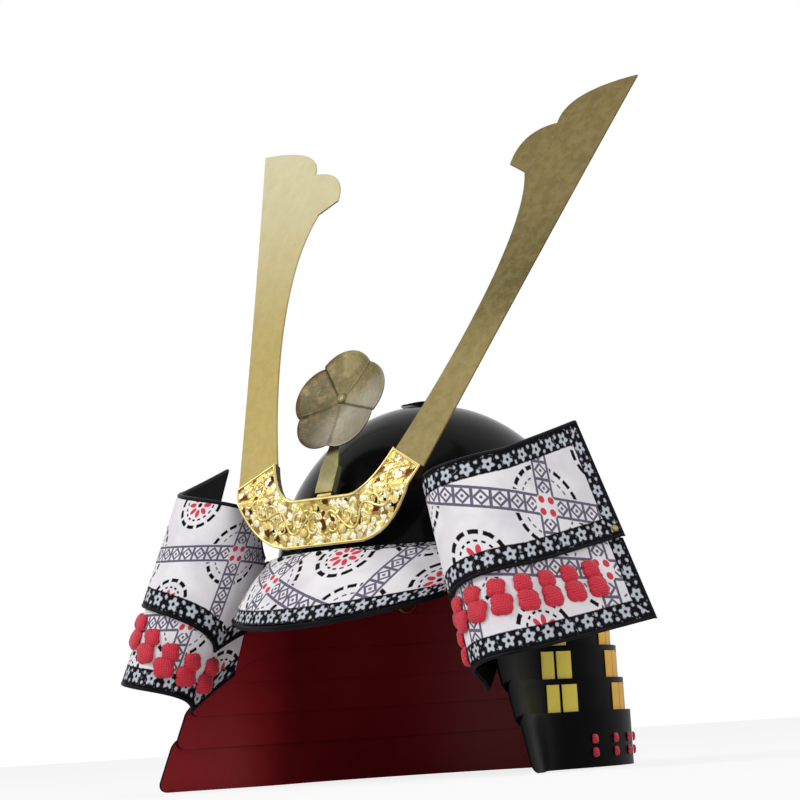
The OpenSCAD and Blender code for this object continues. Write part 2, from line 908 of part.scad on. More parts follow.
module head_lining() {
    turns = [1.5, 6, 12, 24, 38, 52, 66, 82];
    function o(j) = j < 2 ? -bowl_t - 2 * seat - strap_t : -bowl_t - max(lining_gap,
        2 * seat + strap_t);
    function grid(inner) = [for (i = [0 : lining_stations - 1])
        [for (j = [0 : len(turns) - 1])
            dome(i * 360 / lining_stations, turns[j], o(j) - inner)]];
    color("#6a5a48")
        skin(grid(0), grid(lining_t), wrap = true);
}

module lining_band() {
    o = -bowl_t - seat;
    strap_h = 14;
    function grid(o) = [for (i = [0 : lining_stations - 1])
        [for (j = [0, 1]) dome_at(i * 360 / lining_stations, 1 + strap_h * j, o)]];
    color("#4a3526")
        skin(grid(o), grid(o - strap_t), wrap = true);
}

// Rings: a pennant ring on the back of the bowl, and four rings for the chin cord at the rim

pennant_el = 38;
pennant_wire = 2;
eye_r = 2.1;
eye_wire = 1.6;
pennant_point = dome(90, pennant_el, seat);
pennant_out = unit([0, (pennant_point[1] - crown_back * sin(pennant_el))
    / pow(bowl_b, 2), pennant_point[2] / pow(bowl_h, 2)]);
pennant_down = atan2(-pennant_out[1], pennant_out[2]);

// Frame on the back of the bowl: Z away from the plate, Y down the slope
module on_back() {
    translate(pennant_point)
        rotate([pennant_down, 0, 0])
            children();
}

module pennant_staple() {
    color(brass)
        on_back() {
            cylinder(d = 9, h = 1.2, $fn = round_fn);
            translate([0, 0, 1.2 + eye_r - 0.4])
                rotate([0, 90, 0])
                    wire_ring(eye_r, eye_wire);
        }
}

pennant_lift = 1.2 + eye_r - 0.4;
pennant_sink = 4;

module pennant_ring() {
    mean_r = (pennant_d - pennant_wire) / 2;
    hang = asin((pennant_lift - pennant_wire / 2 - seat) / (2 * mean_r)) + pennant_sink;
    color(brass)
        on_back()
            translate([0, 0, pennant_lift])
                rotate([-hang, 0, 0])
                    translate([0, mean_r, 0])
                        wire_ring(mean_r, pennant_wire);
}

tie_eye_r = 2.4;
tie_eye_wire = 1.6;
tie_eye_in = 1.2;
tie_turns = [-38, 38];

// Frame under the rim at an angle: X outward, Y along the rim, Z up
module under_rim(q, side) {
    p = dome(q, 0, -bowl_t / 2 - tie_eye_in);
    n = [cos(q) / bowl_a, sin(q) / bowl_b];
    mirror([side < 0 ? 1 : 0, 0, 0])
        translate([p[0], p[1], 0])
            rotate([0, 0, atan2(n[1], n[0])])
                children();
}

tie_eye_z = -seat - tie_eye_r - tie_eye_wire / 2;
tie_hang_z = tie_eye_z - tie_eye_r + tie_eye_wire / 2 + seat + tie_wire / 2;

module tie_staples() {
    color(brass)
        for (side = [-1, 1], q = tie_turns)
            under_rim(q, side)
                translate([0, 0, tie_eye_z])
                    rotate([90, 0, 0])
                        wire_ring(tie_eye_r, tie_eye_wire);
}

module tie_ring(q, side) {
    mean_r = (tie_ring_d - tie_wire) / 2;
    color(brass)
        under_rim(q, side)
            translate([0, 0, tie_hang_z - mean_r])
                rotate([0, 90, 0])
                    wire_ring(mean_r, tie_wire);
}

module tie_ring_front_left() {
    tie_ring(tie_turns[0], 1);
}

module tie_ring_front_right() {
    tie_ring(tie_turns[0], -1);
}

module tie_ring_back_left() {
    tie_ring(tie_turns[1], 1);
}

module tie_ring_back_right() {
    tie_ring(tie_turns[1], -1);
}

bowl();
base_band();
rim_rivets();
apex_seat();
apex_collar();
visor();
visor_cover();
visor_edging();
visor_rivets();
horn_holder();
holder_rivets();
crest_prong();
horn_left();
horn_right();
crest_stem();
crest_flower();
crest_rivet();
pennant_staple();
pennant_ring();
tie_staples();
tie_ring_front_left();
tie_ring_front_right();
tie_ring_back_left();
tie_ring_back_right();
head_lining();
lining_band();
neck_lame_1();
neck_lame_2();
neck_lame_3();
neck_lame_4();
neck_lame_5();
neck_lame_6();
upper_cover_left();
upper_cover_right();
lower_cover_left();
lower_cover_right();
upper_edging_left();
upper_edging_right();
lower_edging_left();
lower_edging_right();
turnback_knots_left();
turnback_knots_right();
turnback_studs();
lacing_1();
lacing_2();
lacing_3();
lacing_4();
lacing_5();
bottom_knots();
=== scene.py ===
# %% [markdown]
# # A samurai helmet, dressed piece by piece
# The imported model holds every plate, ring and rivet in metres, with the rim of the bowl at
# Z = 0, the front along -Y and the wearer's left along +X. This lesson sets up camera and
# light, and then gives each piece its real surface. Plates that the model holds as flat facets
# are drawn again from the same curves with many more points, so that lacquer reflects
# smoothly. Small metal pieces keep their own mesh.

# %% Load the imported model
import bpy
from math import acos, asin, atan2, cos, degrees, hypot, pi, radians, sin, sqrt
from mathutils import Matrix, Vector


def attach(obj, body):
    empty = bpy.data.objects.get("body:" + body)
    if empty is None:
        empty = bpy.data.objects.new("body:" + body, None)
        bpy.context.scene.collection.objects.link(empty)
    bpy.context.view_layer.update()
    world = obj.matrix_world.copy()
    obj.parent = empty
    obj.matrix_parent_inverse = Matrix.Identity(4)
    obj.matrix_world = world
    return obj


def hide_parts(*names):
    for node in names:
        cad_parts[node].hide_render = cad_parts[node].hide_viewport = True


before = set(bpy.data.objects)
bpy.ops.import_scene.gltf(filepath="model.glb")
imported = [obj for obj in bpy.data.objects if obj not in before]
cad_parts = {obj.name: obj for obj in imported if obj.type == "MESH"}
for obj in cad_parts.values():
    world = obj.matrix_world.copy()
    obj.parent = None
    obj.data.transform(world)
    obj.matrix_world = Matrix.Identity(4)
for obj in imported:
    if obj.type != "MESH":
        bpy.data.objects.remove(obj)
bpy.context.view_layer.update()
HANDS = {1: "left", -1: "right"}


def add_object(name, data):
    made = bpy.data.objects.new(name, data)
    bpy.context.scene.collection.objects.link(made)
    return made


# %% [markdown]
# ## Camera
# The picture is taken from the wearer's left front, a little below the rim, with a slight
# roll. A camera can be set by hand, but two angles and a roll say plainly where it stands. It
# is then aimed so that the helmet fills a square frame, and a long lens from 2.1 m keeps the
# horns from spreading.

# %% Camera
TURN, CLIMB, ROLL, DISTANCE = radians(37.56), radians(-3), radians(-3.67), 2.1
FOCAL_PIXELS, FRAME_PIXELS, SENSOR = 2977, 800, 36
AIM_LEFT, AIM_UP = 34.3, 179.5
toward = Vector((sin(TURN) * cos(CLIMB), -cos(TURN) * cos(CLIMB), sin(CLIMB)))
level_right = Vector((cos(TURN), sin(TURN), 0))
level_up = toward.cross(level_right)
right = cos(ROLL) * level_right + sin(ROLL) * level_up
up = cos(ROLL) * level_up - sin(ROLL) * level_right
forward = (-toward * FOCAL_PIXELS - right * AIM_LEFT + up * AIM_UP).normalized()
up = (up - forward * up.dot(forward)).normalized()
camera = add_object("camera", bpy.data.cameras.new("camera"))
camera.data.lens = SENSOR * FOCAL_PIXELS / FRAME_PIXELS
camera.data.clip_end = 50
facing = Matrix((forward.cross(up), up, -forward)).transposed().to_4x4()
camera.matrix_world = Matrix.Translation(toward * DISTANCE) @ facing
bpy.context.scene.camera = camera
print("lens", round(camera.data.lens, 1), "mm")

# %% [markdown]
# ## Writing shader maths as expressions
# Patterns are sums on positions. Wiring a Math node for each sum by hand would bury the idea,
# so a Wire stands for one socket and Python's own operators add the nodes. A Finish is the
# node tree of one material.

# %% Wires and finishes
def colour(*screen):
    """A screen colour from 0 to 255, as the linear numbers that a shader needs."""
    shares = (v / 255 for v in screen)
    return (*(v / 12.92 if v <= 0.04045 else ((v + 0.055) / 1.055) ** 2.4 for v in shares), 1)


class Wire:
    """One output socket of a node."""
    def __init__(self, nodes, socket):
        self.nodes = nodes
        self.socket = socket

    def maths(self, operation, *others):
        return self.nodes.node("Math", dict(enumerate((self,) + others)), operation=operation)

    def __rsub__(self, other):
        return self * -1 + other

    def near(self, period):
        """How far this value is from the nearest whole number of periods."""
        return self - (self / period).maths("ROUND") * period

    def soft(self, low, high):
        """0 below low and 1 above high, with a smooth step between them."""
        return self.nodes.node("MapRange", {"Value": self, "From Min": low, "From Max": high},
            interpolation_type="SMOOTHSTEP")

    def part(self, name):
        return Wire(self.nodes, self.socket.node.outputs[name])


# Each of Python's signs, and a few words, adds the Math node of its operation
for sign, operation in {"__add__": "ADD", "__radd__": "ADD", "__sub__": "SUBTRACT",
        "__mul__": "MULTIPLY", "__rmul__": "MULTIPLY", "__truediv__": "DIVIDE",
        "__abs__": "ABSOLUTE", "__lt__": "LESS_THAN", "root": "SQRT", "sine": "SINE",
        "least": "MINIMUM", "most": "MAXIMUM"}.items():
    setattr(Wire, sign, lambda self, *others, op=operation: self.maths(op, *others))


class Nodes:
    def __init__(self, tree):
        self.tree = tree

    def node(self, kind, values=None, **settings):
        """Adds a node: its settings first, then the values or wires of its sockets."""
        made = self.tree.nodes.new("ShaderNode" + kind)
        for key, value in settings.items():
            setattr(made, key, value)
        for key, value in (values or {}).items():
            self.put(made.inputs[key], value)
        return Wire(self, [s for s in made.outputs if s.enabled][0])

    def put(self, socket, value):
        if isinstance(value, Wire):
            self.tree.links.new(value.socket, socket)
        else:
            socket.default_value = value


class Finish(Nodes):
    def __init__(self, name):
        self.material = bpy.data.materials.new(name)
        self.material.use_nodes = True
        super().__init__(self.material.node_tree)
        self.shader = self.tree.nodes["Principled BSDF"]

    def set(self, **values):
        """Sets sockets of the surface shader, written with _ for each space."""
        for key, value in values.items():
            self.put(self.shader.inputs[key.replace("_", " ")], value)
        return self

    def place(self):
        return self.node("TexCoord").part("Object")

    def split(self, vector):
        parts = self.node("SeparateXYZ", {0: vector})
        return parts.part("X"), parts.part("Y"), parts.part("Z")

    def drawn(self, name):
        """A measure that was stored on the mesh, as three wires."""
        return self.split(self.node("Attribute", attribute_name=name).part("Vector"))

    def noise(self, scale, detail=4, rough=0.5, where=None):
        return self.node("TexNoise", {"Vector": where or self.place(),
            "Scale": scale, "Detail": detail, "Roughness": rough})

    def streaks(self, across, along, detail=3):
        """Noise drawn out along the height."""
        where = self.node("Mapping", {"Vector": self.place(), "Scale": (across, across, along)})
        return self.noise(1, detail, 0.6, where)

    def cells(self, scale, where=None):
        return self.node("TexVoronoi", {"Vector": where or self.place(), "Scale": scale})

    def mix(self, share, low, high):
        """Two tones mixed, where a tone is a wire or a screen colour."""
        low, high = (v if isinstance(v, Wire) else colour(*v) for v in (low, high))
        return self.node("Mix", {0: share, 6: low, 7: high}, data_type="RGBA")

    def coats(self, tone, *coats):
        """Coats over a tone: for each how much it covers, and its own tone."""
        for share, shade in coats:
            tone = self.mix(share, tone, shade)
        return tone

    def bump(self, height, distance, strength=1.0, **over):
        return self.node("Bump",
            {"Height": height, "Distance": distance, "Strength": strength, **over})


print("a grey of 128 is", round(colour(128, 128, 128)[0], 3), "in linear light")

# %% [markdown]
# ## World, floor and lamps
# The world lights the helmet with soft white at part strength and shows itself at full
# strength only to the camera and to reflections, so the background is white while matte
# colours stay as written. The floor glows a little for the camera too, but keeps the shadow.
# Two large lamps stand in for soft boxes, because small ones leave hard spots on lacquer.

# %% World
WHITE = (1, 1, 1, 1)
world = bpy.data.worlds.new("studio")
bpy.context.scene.world = world
world.use_nodes = True
sky = Nodes(world.node_tree)
rays = sky.node("LightPath")
seen = rays.part("Is Camera Ray").most(rays.part("Is Glossy Ray"))
seen = seen.most(rays.part("Is Transmission Ray"))
glow = sky.tree.nodes["Background"].inputs
sky.put(glow["Color"], WHITE)
sky.put(glow["Strength"], sky.node("MapRange", {"Value": seen, "To Min": 0.5, "To Max": 1.0}))
print("world nodes:", len(sky.tree.nodes))

# %% Floor
FLOOR, FAR = -0.1376, 20
floor_mesh = bpy.data.meshes.new("floor")
corners = ((-FAR, -FAR), (FAR, -FAR), (FAR, FAR), (-FAR, FAR))
floor_mesh.from_pydata([(x, y, FLOOR) for x, y in corners], [], [(0, 1, 2, 3)])
floor = add_object("floor", floor_mesh)
paper = Finish("pale floor").set(Base_Color=colour(238, 238, 238), Roughness=0.9)
glare = paper.node("Emission", {"Color": WHITE, "Strength": 1.0})
share = paper.node("LightPath").part("Is Camera Ray") * 0.82
both = paper.node("MixShader", {0: share, 1: Wire(paper, paper.shader.outputs[0]), 2: glare})
paper.put(paper.tree.nodes["Material Output"].inputs["Surface"], both)
floor_mesh.materials.append(paper.material)
print("floor at", FLOOR)

# %% Lamps
def lamp(name, place, size, power, aim=(0, 0, 0.05)):
    data = bpy.data.lights.new(name, "AREA")
    data.shape = "DISK"
    data.size = size
    data.energy = power
    made = add_object(name, data)
    made.location = place
    made.rotation_euler = (Vector(aim) - Vector(place)).to_track_quat("-Z", "Y").to_euler()


lamp("key", (-1.1, -2.3, 1.9), 1.4, 42)
lamp("fill", (2.6, -0.9, 0.9), 1.8, 18)
bpy.context.scene.view_settings.view_transform = "Standard"
print("lamps set")

# %% [markdown]
# ## Black lacquer
# The bowl and the lames are iron under many coats of lacquer: nearly black and smooth, with a
# slow waviness. An image could hold that, but noise has no seams. A broad one, fed to a faint
# bump, bends the reflections, and a finer one varies the roughness where hands have touched it.

# %% Lacquer finishes
def lacquer(name, shade, rough, gloss=0.05):
    made = Finish(name)
    broad = made.noise(22, 2)
    deep = colour(*shade)
    lit = (*(min(1, v * 1.7 + 0.004) for v in deep[:3]), 1)
    tone = made.node("Mix", {0: broad * 0.6, 6: deep, 7: lit}, data_type="RGBA")
    return made.set(Base_Color=tone, Specular_IOR_Level=gloss,
        Roughness=rough + made.noise(260, 3) * 0.08 + broad * 0.03,
        Normal=made.bump(broad, 0.00096, 0.5))


black_lacquer = lacquer("black lacquer", (12, 12, 14), 0.1)
worn_lacquer = lacquer("worn black lacquer", (8, 8, 8), 0.28, 0.012)
maroon_lacquer = lacquer("maroon lacquer", (128, 22, 30), 0.34, 0.2)
print("lacquers made")

# %% [markdown]
# ## Brass and gilt
# The horns are flat brass plate, rubbed matte: long faint scratches, and a tone that changes
# along them, with painted shade over the wearer's left horn. The holder is gilt, with painted
# shade where its faces don't look forward, and a ground chased into small leaves that carry
# painted highlights. Rings, rivets and studs are metal that drifts between two tones. One
# function scratches all the plain metals, with a noise drawn out along the height, so that
# they look like one maker's work.

# %% Metal finishes
def brushed(made, tone, rough, cloudy):
    """Makes the finish a metal of this tone, with scratches along its height."""
    grain = made.streaks(900, 60)
    return made.set(Base_Color=tone, Metallic=1.0, Roughness=rough + cloudy * 0.1 + grain * 0.1,
        Normal=made.bump(grain, 0.00012, 0.6))


def metal(name, bright, dull, rough, cloud, side_shade=None):
    """A metal in two tones, and darker with painted shade where a face doesn't look forward."""
    made = Finish(name)
    cloudy = made.noise(cloud, 5, 0.6).soft(0.28, 0.72)
    tone = made.mix(cloudy * 0.75 + made.noise(700, 2).soft(0.56, 0.7) * 0.2, bright, dull)
    if side_shade:
        # Painted shade: faces that don't look forward take the dark brown tone.
        aside = made.split(made.node("TexCoord").part("Normal"))[1]
        tone = made.mix(aside.soft(-0.75, -0.55), tone, side_shade)
    return brushed(made, tone, rough, cloudy)


def horn_metal():
    """Brass with painted shade over the wearer's left horn; the right horn lightens toward its tip.
    """
    made = Finish("horn brass")
    x, _, height = made.split(made.place())
    # The right horn lightens toward its tip. The wearer's left horn takes a darker tone, painted
    # shade, darkest in a band part way up.
    far_tone = made.mix(height.soft(0.15, 0.34), (158, 142, 86), (195, 189, 156))
    shaded_near_tone = made.coats((119, 107, 69), (height.soft(0.13, 0.2), (83, 75, 43)),
        (height.soft(0.2, 0.27), (104, 92, 55)))
    cloudy = made.noise(34, 5, 0.62).soft(0.3, 0.7)
    mottle = made.noise(170, 4, 0.6).soft(0.35, 0.65)
    streak = made.streaks(140, 16, 4).soft(0.3, 0.7)
    # Painted shade: the darker tone covers the wearer's left horn.
    tone = made.coats(far_tone, (x.soft(-0.02, 0.02), shaded_near_tone),
        (cloudy * 0.14 + streak * 0.1, (132, 108, 62)), (mottle * 0.07, (214, 200, 150)))
    return brushed(made, tone, 0.36, cloudy)


def chased_ground():
    """Gilt sheet chased all over: ragged leaves, many with a painted pale highlight, brown hollows
    and a few open holes.
    """
    made = Finish("chased gilt ground")
    ragged = made.node("VectorMath", {0: made.noise(420, 3).part("Color"), 1: (0.0042,) * 3,
        2: made.place()}, operation="MULTIPLY_ADD")
    leaves, fine = made.cells(235, ragged), made.cells(620, ragged)
    pick = made.node("SeparateColor", {0: leaves.part("Color")})
    green, blue = pick.part("Green"), pick.part("Blue")
    # Many leaves take a painted near-white highlight, some a deeper gold; brown fills the hollows
    # and a few cells are open holes.
    tone = made.coats((238, 222, 138), (pick.soft(0.3, 0.5), (255, 254, 228)),
        (green.soft(0.66, 0.74), (186, 166, 98)), (fine.soft(0.4, 0.62) * 0.45, (202, 172, 94)),
        (leaves.soft(0.56, 0.7) * 0.8, (134, 98, 48)), (blue.soft(0.86, 0.9), (92, 50, 16)),
        (blue.soft(0.955, 0.965), (26, 18, 10)))
    height = (1 - leaves) * 0.7 + (1 - fine) * 0.3
    return made.set(Base_Color=tone, Metallic=1.0, Roughness=0.28,
        Normal=made.bump(height, 0.001, 0.5))


GILT = ((232, 216, 148), (196, 170, 98), 0.26, 90)
horn_brass = horn_metal()
olive_brass = metal("olive brass", (136, 129, 92), (98, 92, 62), 0.36, 60)
gilt = metal("gilt", *GILT)
# The holder's gilt, with dark brown painted shade on its sides and back.
front_gilt = metal("front gilt", *GILT, side_shade=(58, 42, 26))
ground_gilt = chased_ground()
ring_brass = metal("ring brass", (208, 184, 120), (150, 125, 70), 0.28, 80)
print("metals made")

# %% [markdown]
# ## Silk, hemp and plain leather
# The lacing is flat braid: tiny slanted stitches that meet along the middle. To model each
# stitch would take far too many faces, so they are drawn from two measures stored on the mesh,
# millimetres across and along the cord, and they bend with it. The same finish in crimson
# covers the cross knots. The lining's hemp is a plain weave, two crossed waves. The strap and
# the rolled edges are leather, with a fine grain.

# %% Cloth and leather finishes
def braid(name, light, dark, pitch=1.6, rear_tone=None):
    """Braided silk, which turns to a more orange tone behind the wearer's ears."""
    made = Finish(name)
    across, along, _ = made.drawn("weave")
    stitch = ((abs(across) * 0.8 + along) * (2 * pi / pitch)).sine() * 0.5 + 0.5
    rows = (across * (2 * pi / 1.5)).sine() * 0.5 + 0.5
    height = stitch * 0.7 + rows * 0.3
    tone = made.mix(height * 0.75 + made.noise(60, 3) * 0.25, dark, light)
    # Behind the ears the braid turns to a more orange tone.
    if rear_tone:
        tone = made.mix(made.split(made.place())[1].soft(0.0, 0.03) * 0.8, tone, rear_tone)
    return made.set(Base_Color=tone, Roughness=0.72 - height * 0.12,
        Normal=made.bump(height, 0.00035, 0.7), Sheen_Weight=0.25, Sheen_Roughness=0.4)


def hide(name, light, dark, rough):
    made = Finish(name)
    tone = made.mix(made.noise(40, 4).soft(0.3, 0.7), dark, light)
    return made.set(Base_Color=tone, Roughness=rough + made.noise(200, 2) * 0.12,
        Normal=made.bump(made.cells(900), 0.0002, 0.35), Specular_IOR_Level=0.07)


def plain_weave(name, dark, light):
    made = Finish(name)
    x, y, z = made.split(made.place())
    warp, weft = ((x + y * 0.6) * 6000).sine(), ((z + y * 0.4) * 6000).sine()
    height = warp * weft * 0.5 + 0.5
    tone = made.mix(height * 0.6 + made.noise(50, 4) * 0.4, dark, light)
    return made.set(Base_Color=tone, Roughness=0.88, Normal=made.bump(height, 0.0003, 0.6),
        Sheen_Weight=0.15)


yellow_silk = braid("yellow silk", (242, 226, 92), (206, 182, 48), rear_tone=(240, 172, 44))
crimson_silk = braid("crimson silk", (228, 36, 66), (158, 8, 32), pitch=2.2)
black_edging = hide("black edging", (22, 22, 26), (10, 10, 12), 0.36)
strap_leather = hide("strap leather", (92, 62, 42), (60, 38, 25), 0.5)
hemp = plain_weave("hemp cloth", (96, 76, 54), (150, 126, 96))
print("cloth and leather made")

# %% [markdown]
# ## Printed leather
# The pale leather carries a traditional repeat: a lattice of narrow chains, a four-dot rosette
# inside broken rings where chains cross, and a petalled wheel in the middle of each square.
# Black borders with small pale florets run along the edges. Each shape is a distance turned
# into a stroke, which stays sharp at any size, where an image would blur. It is drawn from two
# stored measures: "lattice", millimetres along the two chain directions and along the piece,
# and "border", the distances from its lower, upper and end edges, where a large number means
# an edge without a border.

# %% Printed leather finish
REPEAT, WIDE_REPEAT = 86, 108
CHAIN_HALF, LINK, BORDER, FLORET = 6.3, 12.3, 12, 15


def printed(name, across=REPEAT):
    made = Finish(name)
    x, y, along = made.drawn("lattice")
    low, high, end = made.drawn("border")
    ink = (16, 14, 20)
    ground = made.mix(made.noise(45, 4).soft(0.3, 0.75), (238, 235, 238), (220, 216, 222))
    wander = made.noise(420, 3)
    stray = (wander - 0.5) * 1.1

    def stroke(distance, half):
        return 1 - (abs(distance) + stray * half * 0.5).soft(half * 0.75, half * 1.2)

    def length(a, b):
        return (a * a + b * b).root()

    def angle(a, b):
        return made.node("Math", {0: b, 1: a}, operation="ARCTAN2")

    # Chains along both directions of the lattice
    cx, cy = x.near(across), y.near(REPEAT)
    reach = length(cx, cy)

    def chain(off, run):
        inside = 1 - abs(off).soft(CHAIN_HALF - 0.1, CHAIN_HALF + 0.3)
        rails = stroke(abs(off) - CHAIN_HALF, 1.0)
        link = run.near(LINK)
        diamond = stroke(abs(link) + abs(off) - 4.6, 1.15)
        bars = stroke(abs(link) - 6.0, 0.95) * inside
        bead = 1 - length(link, off).soft(0.8, 1.5)
        return rails.most(diamond * inside).most(bars).most(bead) * reach.soft(8.5, 9.5)

    lines = chain(cx, y).most(chain(cy, x))
    # Rosette: four dots inside broken rings that leave the chains free
    dots = 1 - length(abs(cx) - 4.0, abs(cy) - 4.2).soft(2.2, 2.9)
    around = angle(cx, cy)
    free = abs(cx).soft(7.5, 8.5) * abs(cy).soft(7.5, 8.5)
    rings = stroke(reach - 27, 1.5) * (around * 20).sine().soft(-0.75, -0.5) * free
    thin_rings = stroke(reach - 20.5, 0.65) * (around * 24).sine().soft(-0.4, -0.1) * free
    # Wheel in the middle of each square
    wx, wy = (x - across / 2).near(across), (y - REPEAT / 2).near(REPEAT)
    out = length(wx, wy)
    turned = angle(wx, wy)
    dashes = stroke(out - 19.5, 1.6) * (turned * 12).sine().soft(-0.75, -0.5)
    small_dashes = stroke(out - 13.4, 0.8) * (turned * 16).sine().soft(-0.3, 0.1)
    petal = turned.near(pi / 4)
    petals = 1 - length((out - 7.6) * 0.85, petal * out * 1.5).soft(2.6, 3.4)
    hub = 1 - out.soft(1.6, 2.4)
    # Black border with florets
    deep = low.least(high).least(end)
    at_end = end < low.least(high)
    run = along * (1 - at_end) + low * at_end
    edge = 1 - (deep + stray).soft(BORDER - 0.4, BORDER + 0.4)
    fx, fy = run.near(FLORET), deep - 6.2
    far = length(fx, fy)
    floret = 1 - (far - (angle(fx, fy) * 5).sine() * 0.9 + stray * 2.2).soft(3.2, 4.4)
    floret = floret * (far + stray).soft(0.8, 1.7)
    bx, by = (run - FLORET / 2).near(FLORET), abs(deep - 6.2) - 3.2
    buds = 1 - (length(bx, by) + stray * 2.4).soft(0.7, 1.7)
    dust = wander.soft(0.6, 0.7) * 0.4

    tone = made.coats(ground, (lines.most(thin_rings) * 0.92, (80, 72, 98)),
        (rings.most(dashes).most(small_dashes).most(hub), ink),
        (dots.most(petals) * 0.95, (208, 34, 56)), (edge, ink),
        (floret.most(buds).most(dust) * edge, (190, 196, 204)))
    folds = made.bump(made.noise(70, 3), 0.0008, 0.25)
    return made.set(Base_Color=tone, Roughness=0.56 + made.noise(120, 3) * 0.12,
        Normal=made.bump(made.cells(1100), 0.0002, 0.25, Normal=folds), Specular_IOR_Level=0.04)


printed_leather = printed("printed leather")
wide_printed_leather = printed("wide printed leather", WIDE_REPEAT)
print("printed leather has", len(printed_leather.tree.nodes), "nodes")

# %% [markdown]
# ## Making surfaces
# Most pieces are thin shells between two grids of points. A sheet with a Solidify modifier
# comes close, but drawing both grids from one formula keeps the thickness true on tight bends.
# Rolled edges, knots and wires are tubes through rings of points. Points are written in
# millimetres, as a maker would, and turned into metres once.

# %% Shells and tubes
def new_piece(name, slot, form, *finishes, body="helmet", replaces=None, second=None,
        measures=None, angle=40, bevel=0.0):
    """A mesh piece that rides on a body and stands for a node. `form` is points and faces, and
    for a shell which side each face is on; the side `second` takes the second finish."""
    name = name.replace(" ", "_")
    mesh = bpy.data.meshes.new(name)
    mesh.from_pydata([(x / 1000, y / 1000, z / 1000) for x, y, z in form[0]], [], form[1])
    for finish in finishes:
        mesh.materials.append(finish.material)
    if second is not None:
        mesh.polygons.foreach_set("material_index", [int(side == second) for side in form[2]])
    for key, values in (measures or {}).items():
        layer = mesh.attributes.new(key, "FLOAT_VECTOR", "POINT")
        layer.data.foreach_set("vector", [v for value in values for v in value])
    mesh.validate()
    mesh.update()
    mesh.shade_smooth()
    mesh.set_sharp_from_angle(angle=radians(angle))
    piece = add_object(name, mesh)
    if bevel:
        round_off = piece.modifiers.new("rounded edges", "BEVEL")
        round_off.width = bevel / 1000
        round_off.segments = 2
        round_off.limit_method = "ANGLE"
        round_off.angle_limit = radians(40)
    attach(piece, body)
    if replaces:
        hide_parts(replaces)
    return piece


def shell(outer, inner, wrap=False):
    """Points, faces and which side each face is on: 0 outer, 1 inner, 2 edge."""
    rows, cols = len(outer), len(outer[0])
    half = rows * cols
    faces, sides = [], []

    def at(i, j):
        return (i % rows) * cols + j

    def add(side, *face):
        faces.append(face)
        sides.append(side)

    def edge(a, b):
        add(2, a, half + a, half + b, b)

    def far_edge(a, b):
        add(2, a, b, half + b, half + a)

    for i in range(rows if wrap else rows - 1):
        for j in range(cols - 1):
            a, b, c, d = at(i, j), at(i + 1, j), at(i + 1, j + 1), at(i, j + 1)
            add(0, a, b, c, d)
            add(1, half + a, half + d, half + c, half + b)
        edge(at(i, 0), at(i + 1, 0))
        far_edge(at(i, cols - 1), at(i + 1, cols - 1))
    if not wrap:
        for j in range(cols - 1):
            far_edge(at(0, j), at(0, j + 1))
            edge(at(rows - 1, j), at(rows - 1, j + 1))
    return [p for grid in (outer, inner) for row in grid for p in row], faces, sides


def swept(rings, capped=True, flipped=False):
    """A tube through rings of points."""
    count, last = len(rings[0]), len(rings) - 1
    faces = []
    for i in range(0, last * count, count):
        for j in range(count):
            k = (j + 1) % count
            a, b, c, d = i + j, i + k, i + count + k, i + count + j
            faces.append((a, d, c, b) if flipped else (a, b, c, d))
    if capped:
        faces.append(tuple(range(count)))
        faces.append(tuple(last * count + j for j in reversed(range(count))))
    return [p for ring in rings for p in ring], faces


def gather(forms):
    """Many forms as one."""
    points, faces = [], []
    for form in forms:
        base = len(points)
        points += form[0]
        faces += [tuple(base + v for v in face) for face in form[1]]
    return points, faces


def steps(start, stop, count):
    return [start + (stop - start) * i / count for i in range(count + 1)]


def turns(count):
    return [2 * pi * j / count for j in range(count)]


def blend(a, b, t):
    if isinstance(a, (tuple, list)):
        return tuple(p + (q - p) * t for p, q in zip(a, b))
    return a + (b - a) * t


def bez2(a, b, c, t):
    return tuple((1 - t) ** 2 * p + 2 * (1 - t) * t * q + t * t * r for p, q, r in zip(a, b, c))


def bez3(a, b, c, d, t):
    return tuple((1 - t) ** 3 * p + 3 * (1 - t) ** 2 * t * q + 3 * (1 - t) * t * t * r + t ** 3 * s
        for p, q, r, s in zip(a, b, c, d))


def round_shell(rows, outer, inner, inner_rows=None, count=120):
    """A shell all the way round: outer and inner give a point for an azimuth and a row."""
    return shell(*[[[place(360 * i / count, row) for row in run] for i in range(count)]
        for place, run in ((outer, rows), (inner, inner_rows or rows))], True)


print("a ring of 4 points swept once has", len(swept([[(0, 0, 0)] * 4] * 2)[1]), "faces")

# %% [markdown]
# ## Bowl and base band
# The bowl is one smooth oval dome, open at the crown, with an iron band riveted round its rim.
# A sphere could be pulled into this shape, but a formula keeps it exact. Azimuth runs round it
# and elevation climbs it, so the same function gives the bowl and everything that sits on it.

# %% Bowl
HALF_WIDTH, HALF_LENGTH, HEIGHT, CROWN_BACK = 106, 117, 123, 2
BOWL_THICK, APEX_RADIUS = 2, 8.5


def dome(azimuth, elevation, out):
    a, e = radians(azimuth), radians(elevation)
    return ((HALF_WIDTH + out) * cos(e) * cos(a),
        CROWN_BACK * sin(e) + (HALF_LENGTH + out) * cos(e) * sin(a), (HEIGHT + out) * sin(e))


def dome_at(azimuth, z, out):
    return dome(azimuth, degrees(asin(z / (HEIGHT + out))), out)


climb = steps(0, degrees(acos(APEX_RADIUS / HALF_WIDTH)), 40)
bowl = round_shell(climb, lambda a, e: dome(a, e, 0), lambda a, e: dome(a, e, -BOWL_THICK))
new_piece("bowl plate", "black_lacquer", bowl, black_lacquer, replaces="bowl", bevel=0.4)
print("bowl faces:", len(bowl[1]))

